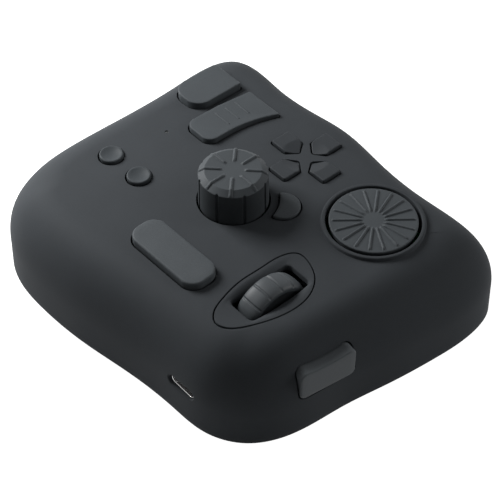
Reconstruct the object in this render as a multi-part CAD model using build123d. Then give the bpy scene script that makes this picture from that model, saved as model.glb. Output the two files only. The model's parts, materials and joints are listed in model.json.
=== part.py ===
"""Desktop macro keypad: a hand-sized housing with a knob, a dial, a scroll wheel and eleven keys.

Frame: millimetres, origin on the desk under the middle of the body, +X to the user's right,
+Y away from the user, +Z up. Every piece is written as its own STEP file.
"""
from build123d import *
from math import cos, hypot, pi, sin
import os

os.makedirs("parts", exist_ok=True)

# ------------------------------------------------------------------ housing sizes
BODY_TOP = 29.5            # height of the flat top above the desk
RIM_HEIGHT = 0.5           # lower edge of the housing above the desk
RIM_BEVEL = 0.6
OVERRUN = 1.0              # how far a cut runs on past the surface it opens
SHOULDER_HEIGHT = 9.5      # where the wall starts to roll over into the top
WALL_DRAFT = 0.04          # inward lean of the wall, mm per mm of height
ROLL_POWER = 2.2           # 2 is an ellipse, more is squarer
WALL = 2.2
ROOF = 2.2

# stations round the foot of the wall: plan place, and how far inside it the roll-over ends
STATIONS = [
    (56.0, 0.0, 13.2), (56.2, 16.0, 13.4), (54.9, 31.0, 14.5), (50.2, 41.8, 17.0),
    (40.4, 47.9, 14.5), (26.0, 49.6, 13.2), (9.0, 48.4, 13.0), (-8.0, 45.5, 13.0),
    (-24.0, 43.9, 13.0), (-36.1, 42.7, 14.5), (-45.6, 37.0, 17.0), (-51.0, 27.0, 14.5),
    (-53.4, 10.0, 13.2), (-56.0, -5.0, 14.5), (-58.0, -20.0, 17.0), (-58.5, -32.7, 18.0),
    (-54.4, -44.6, 19.0), (-42.1, -48.2, 16.0), (-26.0, -46.7, 13.4), (-11.0, -47.4, 13.0),
    (5.0, -49.0, 13.0), (18.0, -47.5, 13.0), (29.0, -47.0, 13.4), (42.0, -48.3, 15.0),
    (53.8, -44.8, 17.5), (57.7, -32.2, 15.0), (56.4, -17.0, 13.3),
]

# ------------------------------------------------------------------ base sizes
PAD_THICKNESS = 1.6        # silicone pad, stands proud of the rim
PAD_MARGIN = 2.0           # cover edge left bare round the pad
COVER_THICKNESS = 2.0
COVER_GAP = 0.2            # cover to housing wall, all round
BALLAST_SIZE = (69.0, 60.0)
BALLAST_THICKNESS = 4.0
BALLAST_GAP = 0.5          # plate to the standoffs and posts
POST_RADIUS = 3.0          # housing posts that take the cover screws
POSTS = [(-40.5, 32.0), (45.5, 36.0), (47.0, -36.0), (-46.0, -35.0)]
SCREW_RADIUS = 1.2
SCREW_HEAD_RADIUS = 2.1
SCREW_HEAD = 1.1
SCREW_LENGTH = 9.0
THREAD_GAP = 0.05          # screw to its pilot hole
HOLE_GAP = 0.3             # screw shank to a clearance hole
BOARD_SCREW_RADIUS = 1.0
BOARD_SCREW_HEAD_RADIUS = 1.9
BOARD_SCREW_HEAD = 1.2
BOARD_SCREW_GRIP = 4.0     # depth of the pilot holes
SCREW_END_GAP = 0.6        # screw end to the bottom of its hole
SCREW_RECESS = 0.6         # driver recess's radius as a share of the shank's

# ------------------------------------------------------------------ boards
BOARD = 1.6                # thickness of every board
STANDOFF_HEIGHT = 5.0
STANDOFF_RADIUS = 2.6
STANDOFFS = [(42.0, 24.0), (42.0, -24.0), (-43.0, -20.0), (-38.0, 26.0)]
MAIN_BOARD_X = (-45.5, 47.5)
MAIN_BOARD_Y = (-38.0, 37.0)
BOARD_NOTCH = 1.0          # board edge to a post
KEY_SPACE = 10.5           # roof underside to the top of the key board
HANGER_RADIUS = 2.4        # housing posts that hold the key board
HANGERS = [(-13.5, 13.5), (18.0, 27.0), (14.5, -13.0), (-13.5, -31.5), (42.0, 5.0)]
KEY_BOARD_FRONT = (-43.0, 48.0, -38.0, -1.0)      # x, x, y, y of its near part
KEY_BOARD_BACK = (-17.0, 47.0, -1.0, 37.0)        # and of its far part
CONNECTOR = (22.0, 5.0)
CONNECTOR_PLACE = (26.0, 20.0)
CHIP = (9.0, 9.0, 1.0)
CHIP_PLACE = (5.0, 5.0)
SMALL_PART = (2.0, 1.2, 0.9)
SMALL_PARTS = 8
SMALL_PART_RING = 9.0      # radius of their ring round the chip

# ------------------------------------------------------------------ USB-C port
USB_X = -27.4
USB_OPENING = (9.4, 3.5)   # slot in the housing
USB_SHELL = (8.9, 3.2, 7.3)
USB_SHELL_WALL = 0.3
USB_BACK_WALL = 1.2
USB_TONGUE = (6.6, 0.7, 4.6)
USB_SETBACK = 0.9          # mouth of the shell behind the housing wall
USB_TAB_MARGIN = 2.0       # board beside the shell

# ------------------------------------------------------------------ keys
KEY_TRAVEL = 0.6
KEY_GAP = 0.3              # key to its opening, all round
FLANGE_REACH = 0.7         # flange beyond the key's outline
FLANGE = 1.2
FLANGE_GAP = 0.2           # flange to the roof underside
STEM_RADIUS = 1.7
SWITCH = (6.0, 6.0, 3.5)
PLUNGER_RADIUS = 1.5
PLUNGER_PROUD = 0.9
PLUNGER_GAP = 0.05         # plunger to its switch body
PLUNGER_DEPTH = 0.4        # plunger end inside the switch at rest
EDGE_ROUND = 0.5           # top edge of every key

TOP_KEY_PLACE = (-3.9, 25.6)
TOP_KEY_SIZE = (26.8, 10.5)
TOP_KEY_CORNER = 4.2
TOP_KEY_TURN = 1.2
TOP_KEY_PROUD = 2.1
ROUND_KEYS = {"round_right_key": (36.9, 14.7), "round_left_key": (25.3, 14.1)}
ROUND_KEY_RADIUS = 3.55
ROUND_KEY_PROUD = 0.9
TALL_KEY_X = (34.7, 46.6)
TALL_KEY_Y = (-31.1, -14.3)
TALL_KEY_CORNER = 5.0
TALL_KEY_FRONT_CORNER = 1.5  # its near corner by the right wall
TALL_KEY_PROUD = 2.1
TALL_KEY_SINK = 1.5        # its flange hangs this much lower, clear of the roll-over
SHORT_KEY_X = (21.9, 32.7)
SHORT_KEY_Y = (-31.5, -8.0)
SHORT_KEY_CORNER = 3.2
SHORT_KEY_FLARE = 3.8      # how far its near left corner sweeps out
SHORT_KEY_SWEEP = 16.0     # length of the swept stretch
SHORT_KEY_TAPER = (1.2, 11.5)  # its near right corner moved in, over this length
SHORT_KEY_PROUD = 1.6      # at its far end
SHORT_KEY_SLANT = 1.4      # its top drops towards the near end, degrees
CRESCENT_KEY_PLACE = (-9.05, -7.9)
CRESCENT_KEY_RADIUS = 5.0
CRESCENT_KEY_BITE = 12.4   # radius about the knob that hollows its side
CRESCENT_KEY_PROUD = 0.9
PAD_CENTRE = (1.0, -25.4)
PAD_KEY_WIDTH = 6.6
PAD_KEY_TIP = 2.4          # pad centre to a direction key's tip
PAD_KEY_SHOULDER = 5.0     # pad centre to where it reaches full width
PAD_KEY_END = 10.8
PAD_KEY_PROUD = 0.5
SIDE_KEY_Y = 15.1
SIDE_KEY_Z = 18.0
SIDE_KEY_SIZE = (17.2, 10.2)
SIDE_KEY_CORNER = 2.0
SIDE_KEY_DIP = 0.8         # hollow of its upper edge
SIDE_KEY_TURN = 8.0        # the wall's lean in plan, degrees
SIDE_KEY_PROUD = 1.4       # beyond the wall at the key's middle
SIDE_KEY_DEPTH = 6.2       # face to flange
SIDE_SWITCH_DEPTH = 3.5
SIDE_BOARD_WIDTH = 12.0
SIDE_BOARD_TOP = 22.6

# ------------------------------------------------------------------ knob, dial and encoders
ENCODER = (12.0, 12.0, 6.0)
BUSH_RADIUS = 4.0
BUSH_HEIGHT = 2.6
SHAFT_RADIUS = 3.0
SHAFT_GAP = 0.05
PRESS_TRAVEL = 0.5
PRESS_BUTTON = 0.7         # thickness of the press plunger under a shaft
ENCODER_FLOOR = 0.6
KNOB_PLACE = (1.9, 0.1)
KNOB_FOOT_RADIUS = 9.6
KNOB_HOLE_GAP = 0.35       # foot to its hole, all round
KNOB_HOLE_RADIUS = KNOB_FOOT_RADIUS + KNOB_HOLE_GAP
KNOB_SHOULDER_RADIUS = 9.45
KNOB_TOP_RADIUS = 7.7
KNOB_HEIGHT = 10.9         # its flat top above the housing's
KNOB_CHAMFER = 1.3
KNOB_SUNK = 1.5            # foot below the flat top
KNOB_RIBS = 8
KNOB_RIB_WIDTH = 0.8
KNOB_RIB_PROUD = 0.4
KNOB_RIB_START = 3.4       # ribs run from this radius
KNOB_RIB_END = 9.1         # to this one, over the chamfer
KNOB_FLUTE_RADIUS = 0.7
DIAL_PLACE = (-29.3, -22.1)
DIAL_RADIUS = 11.95
DIAL_HOLE_GAP = 0.95       # disc to its collar, all round
DIAL_HOLE_RADIUS = DIAL_RADIUS + DIAL_HOLE_GAP
DIAL_THICKNESS = 2.4
DIAL_PROUD = 1.1           # disc face above the flat top
DIAL_RIBS = 18
DIAL_RIB_WIDTH = 0.6
DIAL_RIB_PROUD = 0.35
DIAL_RIB_START = 3.3
DIAL_RIB_MARGIN = 0.7      # rib end to the disc's bevel
DIAL_BEVEL = 0.4
COLLAR_WIDTH = 1.1
COLLAR_RADIUS = DIAL_HOLE_RADIUS + COLLAR_WIDTH
COLLAR_PROUD = 1.0
COLLAR_ROUND = 0.45
SHAFT_IN_CAP = 4.0         # shaft end inside the knob or dial
HUB_RADIUS = 5.0
HUB_GAP = 0.35             # pressed dial's hub to the encoder bush

# ------------------------------------------------------------------ scroll wheel
WHEEL_PLACE = (-29.5, 14.7)
WHEEL_RADIUS = 10.4
WHEEL_WIDTH = 7.0
WHEEL_PROUD = 3.0
TYRE_THICKNESS = 2.0
TYRE_CROWN = 0.8
TYRE_GROOVES = 15
TYRE_GROOVE_RADIUS = 0.3
TYRE_PHASE = 16.6
AXLE_RADIUS = 1.2
AXLE_GAP = 0.05
SLOT_SIZE = (8.7, 20.2)
SLOT_CORNER = 1.6
BEZEL_THICKNESS = 1.6
BEZEL_GAP = 0.12
BEZEL_OUTLINE = [
    (-28.6, 31.9), (-31.3, 31.0), (-34.1, 27.2), (-36.4, 21.6), (-37.8, 14.5), (-37.0, 8.2), (-33.4, 2.9),
    (-28.8, 0.6), (-24.3, 0.6), (-22.3, 4.0), (-21.9, 11.0), (-21.9, 18.1), (-23.6, 26.0), (-25.8, 30.4),
]
CRADLE_WALL = 1.5
CRADLE_HEIGHT = 5.5
CRADLE_END = 1.8
CHEEK_GAP = 0.7            # wheel side to the cradle
CRADLE_CLEAR = 1.0         # wheel rim to the cradle's ends
GUIDE_RADIUS = 0.9         # pins of the housing that guide the cradle
SCROLL_ENCODER = (3.6, 8.6, 8.6)

# ------------------------------------------------------------------ power light
LED_PLACE = (34.5, -3.0)
LED_SIZE = (2.0, 1.6, 1.2)
PIPE_RADIUS = 0.5
PIPE_GAP = 0.05
PIPE_COLLAR_RADIUS = 1.5
PIPE_COLLAR = 1.2
PIPE_SUNK = 0.2

# ------------------------------------------------------------------ levels worked out from the sizes
ROOF_UNDER = BODY_TOP - ROOF
COVER_BOTTOM = PAD_THICKNESS
COVER_TOP = COVER_BOTTOM + COVER_THICKNESS
MAIN_BOARD_BOTTOM = COVER_TOP + STANDOFF_HEIGHT
MAIN_BOARD_TOP = MAIN_BOARD_BOTTOM + BOARD
KEY_BOARD_TOP = ROOF_UNDER - KEY_SPACE
KEY_BOARD_BOTTOM = KEY_BOARD_TOP - BOARD
SWITCH_TOP = KEY_BOARD_TOP + SWITCH[2]
PLUNGER_TOP = SWITCH_TOP + PLUNGER_PROUD
FLANGE_TOP = ROOF_UNDER - FLANGE_GAP
USB_Z = MAIN_BOARD_TOP + USB_SHELL[1] / 2
AXLE_Z = BODY_TOP + WHEEL_PROUD - WHEEL_RADIUS
BOARD_SCREW_LENGTH = BOARD + BOARD_SCREW_GRIP - SCREW_END_GAP


# ------------------------------------------------------------------ shared helpers
LOW = (Align.CENTER, Align.CENTER, Align.MIN)


def save(name, *solids):
    """Write one node, made of one or more solids."""
    shape = solids[0] if len(solids) == 1 else Compound(children=list(solids))
    export_step(shape, f"parts/{name}.step")


def rod(place, radius, low, high):
    """Upright cylinder between two heights."""
    return Pos(place[0], place[1], low) * Cylinder(radius, high - low, align=LOW)


def slab(x_range, y_range, low, high):
    """Upright box from its ranges."""
    size = (x_range[1] - x_range[0], y_range[1] - y_range[0], high - low)
    centre = ((x_range[0] + x_range[1]) / 2, (y_range[0] + y_range[1]) / 2, low)
    return Pos(*centre) * Box(*size, align=LOW)


def block(place, size, low):
    """Upright box from its centre and size."""
    return Pos(place[0], place[1], low) * Box(*size, align=LOW)


def prism(outline, low, high):
    """Flat outline pushed up between two heights."""
    return Pos(0, 0, low) * extrude(outline, high - low)


def round_top(shape, radius):
    """Round the edges of the highest face."""
    return fillet(shape.faces().sort_by(Axis.Z)[-1].edges(), radius)


# ------------------------------------------------------------------ the body's outer and inner surface
LEVELS = (0.0, 0.2, 0.38, 0.54, 0.68, 0.8, 0.9, 1.0)       # rings of the roll-over


def inward_normals(points):
    """Unit vectors that point into a closed outline at each of its points, listed anticlockwise."""
    normals = []
    for i in range(len(points)):
        ahead, behind = points[(i + 1) % len(points)], points[i - 1]
        along = (ahead[0] - behind[0], ahead[1] - behind[1])
        length = hypot(*along)
        normals.append((-along[1] / length, along[0] / length))
    return normals


def ring(level, wall=0.0, roof=0.0):
    """Points of one ring of the surface: level 0 is the shoulder and 1 the flat top.

    wall and roof move the ring inward and downward, for the inner surface.
    """
    turn = level * pi / 2
    reach = 1 - cos(turn) ** (2 / ROLL_POWER) if level < 1 else 1.0
    rise = sin(turn) ** (2 / ROLL_POWER) if level > 0 else 0.0
    height = SHOULDER_HEIGHT + (BODY_TOP - roof - SHOULDER_HEIGHT) * rise
    points = []
    for (x, y, crown), (nx, ny) in zip(STATIONS, inward_normals(STATIONS)):
        inset = wall + WALL_DRAFT * SHOULDER_HEIGHT + (crown - wall) * reach
        points.append((x + nx * inset, y + ny * inset))
    return points, height


def foot_ring(height, wall=0.0):
    """Points of a ring of the straight wall below the shoulder."""
    inset = wall + WALL_DRAFT * height
    normals = inward_normals(STATIONS)
    return [(x + nx * inset, y + ny * inset) for (x, y, _), (nx, ny) in zip(STATIONS, normals)]


def station_spacing():
    """Spline parameter of each station, by the distance along the foot of the wall."""
    spacing = [0.0]
    for (x0, y0, _), (x1, y1, _) in zip(STATIONS, STATIONS[1:] + STATIONS[:1]):
        spacing.append(spacing[-1] + hypot(x1 - x0, y1 - y0))
    return spacing


def ring_face(points, height=0.0):
    """Closed smooth outline through a ring's points, spaced alike on every ring."""
    corners = [(x, y, height) for x, y in points]
    return make_face(Edge.make_spline(corners, periodic=True, parameters=station_spacing()))


def outer_solid(foot):
    """Solid bounded by the outer surface, from the height foot up."""
    sections = [ring_face(foot_ring(foot), foot)]
    return loft(sections + [ring_face(*ring(level)) for level in LEVELS])


def inner_solid():
    """Room inside the housing: straight wall up to the shoulder, then the curved roof."""
    foot, shoulder = RIM_HEIGHT - OVERRUN, SHOULDER_HEIGHT
    wall = loft([ring_face(foot_ring(height, WALL), height) for height in (foot, shoulder)], ruled=True)
    return wall + loft([ring_face(*ring(level, WALL, ROOF)) for level in LEVELS])


def wall_gap(points, along, place):
    """Where the outline through the points meets the line x = place or y = place, on the outer side."""
    found = []
    for (x0, y0), (x1, y1) in zip(points, points[1:] + points[:1]):
        a0, b0, a1, b1 = (x0, y0, x1, y1) if along == "x" else (y0, x0, y1, x1)
        if min(a0, a1) <= place < max(a0, a1):
            found.append(b0 + (b1 - b0) * (place - a0) / (a1 - a0))
    return found


def wall_points(height):
    """Outer ring at a height above the shoulder."""
    rise = (height - SHOULDER_HEIGHT) / (BODY_TOP - SHOULDER_HEIGHT)
    level = 0.0
    while sin(level * pi / 2) ** (2 / ROLL_POWER) < rise:
        level += 0.005
    return ring(level)[0]


USB_WALL_Y = max(wall_gap(wall_points(USB_Z), "x", USB_X))
SIDE_WALL_X = min(wall_gap(wall_points(SIDE_KEY_Z), "y", SIDE_KEY_Y))


# ------------------------------------------------------------------ outlines of the keys
def top_key_outline():
    shape = RectangleRounded(*TOP_KEY_SIZE, TOP_KEY_CORNER)
    return Pos(*TOP_KEY_PLACE) * Rot(0, 0, TOP_KEY_TURN) * shape


def round_key_outline(name):
    return Pos(*ROUND_KEYS[name]) * Circle(ROUND_KEY_RADIUS)


def tall_key_outline():
    """D shape: square near end with one softer corner, wide round far end."""
    (x0, x1), (y0, y1) = TALL_KEY_X, TALL_KEY_Y
    shape = Pos((x0 + x1) / 2, (y0 + y1) / 2) * Rectangle(x1 - x0, y1 - y0)
    corners = shape.vertices().sort_by(Axis.Y)
    shape = fillet(corners[-2:], TALL_KEY_CORNER)
    near = shape.vertices().sort_by(Axis.Y)[:2].sort_by(Axis.X)
    shape = fillet(near[1:], TALL_KEY_FRONT_CORNER)
    return fillet(shape.vertices().group_by(Axis.Y)[0].sort_by(Axis.X)[:1], EDGE_ROUND)


def short_key_outline():
    """Rounded far end, near left corner swept out in a hollow arc, near right corner drawn in."""
    (x0, x1), (y0, y1) = SHORT_KEY_X, SHORT_KEY_Y
    bend = y0 + SHORT_KEY_SWEEP
    taper, stretch = SHORT_KEY_TAPER
    sweep = ThreePointArc(
        (x0, bend), (x0 - SHORT_KEY_FLARE * 0.27, y0 + SHORT_KEY_SWEEP * 0.48), (x0 - SHORT_KEY_FLARE, y0)
    )
    rest = Polyline(
        (x0 - SHORT_KEY_FLARE, y0), (x1 - taper, y0), (x1, y0 + stretch), (x1, y1), (x0, y1), (x0, bend)
    )
    shape = make_face(Curve() + [sweep, rest])
    shape = fillet(shape.vertices().sort_by(Axis.Y)[-2:], SHORT_KEY_CORNER)
    return fillet(shape.vertices().sort_by(Axis.Y)[:2], EDGE_ROUND)


def crescent_key_outline():
    """Half-moon whose hollow side runs round the knob."""
    moon = Pos(*CRESCENT_KEY_PLACE) * Circle(CRESCENT_KEY_RADIUS)
    moon -= Pos(*KNOB_PLACE) * Circle(CRESCENT_KEY_BITE)
    return fillet(moon.vertices(), EDGE_ROUND)


def pad_key_outline(turn):
    """Direction key: a pentagon that points at the pad's centre. turn 0 is the right key."""
    half = PAD_KEY_WIDTH / 2
    points = [
        (PAD_KEY_TIP, 0), (PAD_KEY_SHOULDER, half), (PAD_KEY_END, half),
        (PAD_KEY_END, -half), (PAD_KEY_SHOULDER, -half),
    ]
    shape = fillet(make_face(Polyline(*points, close=True)).vertices(), EDGE_ROUND * 1.4)
    return Pos(*PAD_CENTRE) * Rot(0, 0, turn) * shape


# name: outline, height above the flat top, how far its flange is lowered, slant of its top
TOP_KEYS = {
    "top_key": (top_key_outline(), TOP_KEY_PROUD, 0.0, 0.0),
    "round_right_key": (round_key_outline("round_right_key"), ROUND_KEY_PROUD, 0.0, 0.0),
    "round_left_key": (round_key_outline("round_left_key"), ROUND_KEY_PROUD, 0.0, 0.0),
    "tall_key": (tall_key_outline(), TALL_KEY_PROUD, TALL_KEY_SINK, 0.0),
    "short_key": (short_key_outline(), SHORT_KEY_PROUD, 0.0, SHORT_KEY_SLANT),
    "crescent_key": (crescent_key_outline(), CRESCENT_KEY_PROUD, 0.0, 0.0),
    "pad_right_key": (pad_key_outline(0), PAD_KEY_PROUD, 0.0, 0.0),
    "pad_up_key": (pad_key_outline(90), PAD_KEY_PROUD, 0.0, 0.0),
    "pad_left_key": (pad_key_outline(180), PAD_KEY_PROUD, 0.0, 0.0),
    "pad_down_key": (pad_key_outline(270), PAD_KEY_PROUD, 0.0, 0.0),
}


def stem_place(outline):
    """Stem and switch of a key stand under the middle of its outline."""
    middle = outline.bounding_box().center()
    return (middle.X, middle.Y)


def grown(outline, amount):
    """Outline moved outward, with its corners kept round."""
    return offset(outline, amount)


# ------------------------------------------------------------------ keys with their plungers
def key_cap(outline, proud, sink, slant=0.0):
    """Key with its flange and stem; a slant drops its top from the far end to the near end."""
    cap = prism(outline, FLANGE_TOP - sink - FLANGE, BODY_TOP + proud)
    if slant:
        box = outline.bounding_box()
        cutter = Box(2 * box.size.X, 2 * box.size.Y, proud, align=(Align.CENTER, Align.MAX, Align.MIN))
        cap -= Pos(box.center().X, box.max.Y, BODY_TOP + proud) * Rot(slant, 0, 0) * cutter
    cap = round_top(cap, EDGE_ROUND)
    flange = prism(grown(outline, FLANGE_REACH), FLANGE_TOP - sink - FLANGE, FLANGE_TOP - sink)
    stem = rod(stem_place(outline), STEM_RADIUS, PLUNGER_TOP, FLANGE_TOP - sink - FLANGE)
    return cap + flange + stem


def plunger(place):
    return rod(place, PLUNGER_RADIUS, SWITCH_TOP - PLUNGER_DEPTH, PLUNGER_TOP)


def switch_body(place):
    floor = SWITCH_TOP - PLUNGER_DEPTH - KEY_TRAVEL - PLUNGER_GAP
    return block(place, SWITCH, KEY_BOARD_TOP) - rod(place, PLUNGER_RADIUS + PLUNGER_GAP, floor, SWITCH_TOP)


for key_name, (key_outline, *key_levels) in TOP_KEYS.items():
    save(key_name, key_cap(key_outline, *key_levels))
    save(key_name.replace("_key", "_plunger"), plunger(stem_place(key_outline)))
save("key_switches", *[switch_body(stem_place(values[0])) for values in TOP_KEYS.values()])


# ------------------------------------------------------------------ side key, on its own small board
def side_place(shape):
    """Stand a shape drawn along -X, with its face at x = 0, in the left wall."""
    return Pos(SIDE_WALL_X, SIDE_KEY_Y, SIDE_KEY_Z) * Rot(0, 0, -SIDE_KEY_TURN) * shape


def side_outline(grow=0.0):
    """Side key seen from the left: flat foot, hollow upper edge, drawn in the YZ plane."""
    half, low = SIDE_KEY_SIZE[0] / 2 + grow, -SIDE_KEY_SIZE[1] / 2 - grow
    high = SIDE_KEY_SIZE[1] / 2 + grow
    upper = ThreePointArc((-half, high), (0, high - SIDE_KEY_DIP), (half, high))
    rest = Polyline((half, high), (half, low), (-half, low), (-half, high))
    shape = make_face(Curve() + [upper, rest])
    return fillet(shape.vertices(), SIDE_KEY_CORNER + grow)


def side_prism(outline, start, end):
    """Push the side outline inward from x = start to x = end."""
    return side_place(extrude(Plane.YZ.offset(start) * outline, end - start))


SIDE_FLANGE_X = -SIDE_KEY_PROUD + SIDE_KEY_DEPTH
SIDE_PLUNGER_X = SIDE_FLANGE_X + FLANGE
SIDE_SWITCH_X = SIDE_PLUNGER_X + PLUNGER_PROUD
SIDE_BOARD_X = SIDE_SWITCH_X + SIDE_SWITCH_DEPTH


def side_rod(radius, start, end):
    """Rod along the side key's travel."""
    return side_place(Pos(start, 0, 0) * Rot(0, 90, 0) * Cylinder(radius, end - start, align=LOW))


def side_box(width, height, start, end):
    return side_place(Pos((start + end) / 2, 0, 0) * Box(end - start, width, height))


def side_key():
    cap = extrude(Plane.YZ.offset(-SIDE_KEY_PROUD) * side_outline(), SIDE_KEY_DEPTH + FLANGE)
    cap = fillet(cap.faces().sort_by(Axis.X)[0].edges(), EDGE_ROUND)
    flange = side_prism(side_outline(FLANGE_REACH), SIDE_FLANGE_X, SIDE_PLUNGER_X)
    return side_place(cap) + flange


def side_switch():
    well_end = SIDE_SWITCH_X + PLUNGER_DEPTH + KEY_TRAVEL + PLUNGER_GAP
    well = side_rod(PLUNGER_RADIUS + PLUNGER_GAP, SIDE_SWITCH_X, well_end)
    return side_box(SWITCH[0], SWITCH[1], SIDE_SWITCH_X, SIDE_BOARD_X) - well


def side_board():
    """Small board that stands on the main board behind the switch."""
    height = SIDE_BOARD_TOP - MAIN_BOARD_TOP
    board = side_box(SIDE_BOARD_WIDTH, height, SIDE_BOARD_X, SIDE_BOARD_X + BOARD)
    return Pos(0, 0, MAIN_BOARD_TOP + height / 2 - SIDE_KEY_Z) * board


save("side_key", side_key())
save("side_plunger", side_rod(PLUNGER_RADIUS, SIDE_PLUNGER_X, SIDE_SWITCH_X + PLUNGER_DEPTH))
save("side_switch", side_switch())
save("side_board", side_board())


# ------------------------------------------------------------------ housing
def bezel_outline(grow=0.0):
    """Leaf shape round the wheel's slot."""
    normals = inward_normals(BEZEL_OUTLINE)
    moved = [(x - nx * grow, y - ny * grow) for (x, y), (nx, ny) in zip(BEZEL_OUTLINE, normals)]
    return make_face(Spline(*moved, periodic=True))


def slot_outline():
    return Pos(*WHEEL_PLACE) * RectangleRounded(*SLOT_SIZE, SLOT_CORNER)


def usb_prism(size, start, end):
    """Rounded slot shape pushed along the port's axis, from y = start to y = end."""
    outline = RectangleRounded(size[0], size[1], size[1] / 2 - 0.01)
    return Pos(USB_X, start, USB_Z) * Rot(-90, 0, 0) * extrude(outline, end - start)


def cradle_ends():
    """Places of the two guide pins, in the middle of the cradle's end bars."""
    reach = WHEEL_RADIUS + CRADLE_CLEAR + CRADLE_END / 2
    return [(WHEEL_PLACE[0], WHEEL_PLACE[1] + side * reach) for side in (-1, 1)]


CRADLE_LOW = AXLE_Z - CRADLE_HEIGHT / 2
CRADLE_TOP = AXLE_Z + CRADLE_HEIGHT / 2


def housing():
    edge = RIM_HEIGHT + RIM_BEVEL
    outer = outer_solid(edge)
    rim = ring_face(foot_ring(edge, RIM_BEVEL), RIM_HEIGHT)
    bevel = loft([rim, ring_face(foot_ring(edge), edge)], ruled=True)
    shell = outer + bevel - inner_solid()
    shell += outer & Compound(children=[rod(place, POST_RADIUS, COVER_TOP, BODY_TOP) for place in POSTS])
    for place in HANGERS:
        shell += rod(place, HANGER_RADIUS, KEY_BOARD_TOP, ROOF_UNDER + ROOF / 2)
    for place in cradle_ends():
        shell += rod(place, GUIDE_RADIUS, CRADLE_LOW - PRESS_TRAVEL, ROOF_UNDER + ROOF / 4)
    collar = rod(DIAL_PLACE, COLLAR_RADIUS, ROOF_UNDER + ROOF / 2, BODY_TOP + COLLAR_PROUD)
    shell += round_top(collar, COLLAR_ROUND)
    shell -= rod(DIAL_PLACE, DIAL_HOLE_RADIUS, SHOULDER_HEIGHT, BODY_TOP + DIAL_THICKNESS)
    shell -= rod(KNOB_PLACE, KNOB_HOLE_RADIUS, ROOF_UNDER - OVERRUN, BODY_TOP + OVERRUN)
    for values in TOP_KEYS.values():
        shell -= prism(grown(values[0], KEY_GAP), ROOF_UNDER - OVERRUN, BODY_TOP + OVERRUN)
    shell -= side_prism(side_outline(KEY_GAP), -SIDE_KEY_PROUD - WALL, SIDE_FLANGE_X + FLANGE)
    shell -= prism(bezel_outline(BEZEL_GAP), BODY_TOP - BEZEL_THICKNESS, BODY_TOP + OVERRUN)
    shell -= prism(slot_outline(), ROOF_UNDER - OVERRUN, BODY_TOP + OVERRUN)
    shell -= rod(LED_PLACE, PIPE_RADIUS + PIPE_GAP, ROOF_UNDER - OVERRUN, BODY_TOP + OVERRUN)
    shell -= usb_prism(USB_OPENING, USB_WALL_Y - 2 * WALL, USB_WALL_Y + WALL)
    for place in POSTS:
        shell -= rod(place, SCREW_RADIUS + THREAD_GAP, COVER_TOP, COVER_BOTTOM + SCREW_LENGTH)
    for place in HANGERS:
        shell -= rod(place, BOARD_SCREW_RADIUS + THREAD_GAP, KEY_BOARD_TOP, KEY_BOARD_TOP + BOARD_SCREW_GRIP)
    return shell


# ------------------------------------------------------------------ base
def cover_outline(margin=0.0):
    return ring_face(foot_ring(COVER_TOP, WALL + COVER_GAP + margin))


def bottom_cover():
    cover = prism(cover_outline(), COVER_BOTTOM, COVER_TOP)
    grip = MAIN_BOARD_BOTTOM - BOARD_SCREW_GRIP
    for place in STANDOFFS:
        cover += rod(place, STANDOFF_RADIUS, COVER_TOP, MAIN_BOARD_BOTTOM)
        cover -= rod(place, BOARD_SCREW_RADIUS + THREAD_GAP, grip, MAIN_BOARD_BOTTOM)
    for place in POSTS:
        cover -= rod(place, SCREW_RADIUS + HOLE_GAP, COVER_BOTTOM, COVER_TOP)
        cover -= rod(place, SCREW_HEAD_RADIUS + HOLE_GAP, COVER_BOTTOM, COVER_BOTTOM + SCREW_HEAD)
    return cover


def ballast_plate():
    """Steel plate glued to the cover, notched round whatever stands on the cover beside it."""
    top = COVER_TOP + BALLAST_THICKNESS
    plate = block((0, 0), (*BALLAST_SIZE, BALLAST_THICKNESS), COVER_TOP)
    for place in STANDOFFS:
        plate -= rod(place, STANDOFF_RADIUS + BALLAST_GAP, COVER_TOP, top)
    for place in POSTS:
        plate -= rod(place, POST_RADIUS + BALLAST_GAP, COVER_TOP, top)
    return plate


def screw(place, seat, up, radius, head_radius, head, length):
    """Screw whose head rests on the height seat; up is 1 where it is driven upward."""
    shank_end, head_end = seat + up * length, seat - up * head
    shank = rod(place, radius, min(seat, shank_end), max(seat, shank_end))
    cap = rod(place, head_radius, min(seat, head_end), max(seat, head_end))
    floor = head_end + up * head / 2
    recess = rod(place, radius * SCREW_RECESS, min(head_end, floor), max(head_end, floor))
    return shank + cap - recess


def board_screw(place, seat, up):
    sizes = (BOARD_SCREW_RADIUS, BOARD_SCREW_HEAD_RADIUS, BOARD_SCREW_HEAD, BOARD_SCREW_LENGTH)
    return screw(place, seat, up, *sizes)


def cover_screw(place):
    length = SCREW_LENGTH - SCREW_HEAD - SCREW_END_GAP
    return screw(place, COVER_BOTTOM + SCREW_HEAD, 1, SCREW_RADIUS, SCREW_HEAD_RADIUS, SCREW_HEAD, length)


save("housing", housing())
save("bottom_cover", bottom_cover())
save("base_pad", prism(cover_outline(PAD_MARGIN), 0, PAD_THICKNESS))
save("ballast_plate", ballast_plate())
save("cover_screws", *[cover_screw(place) for place in POSTS])


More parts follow.
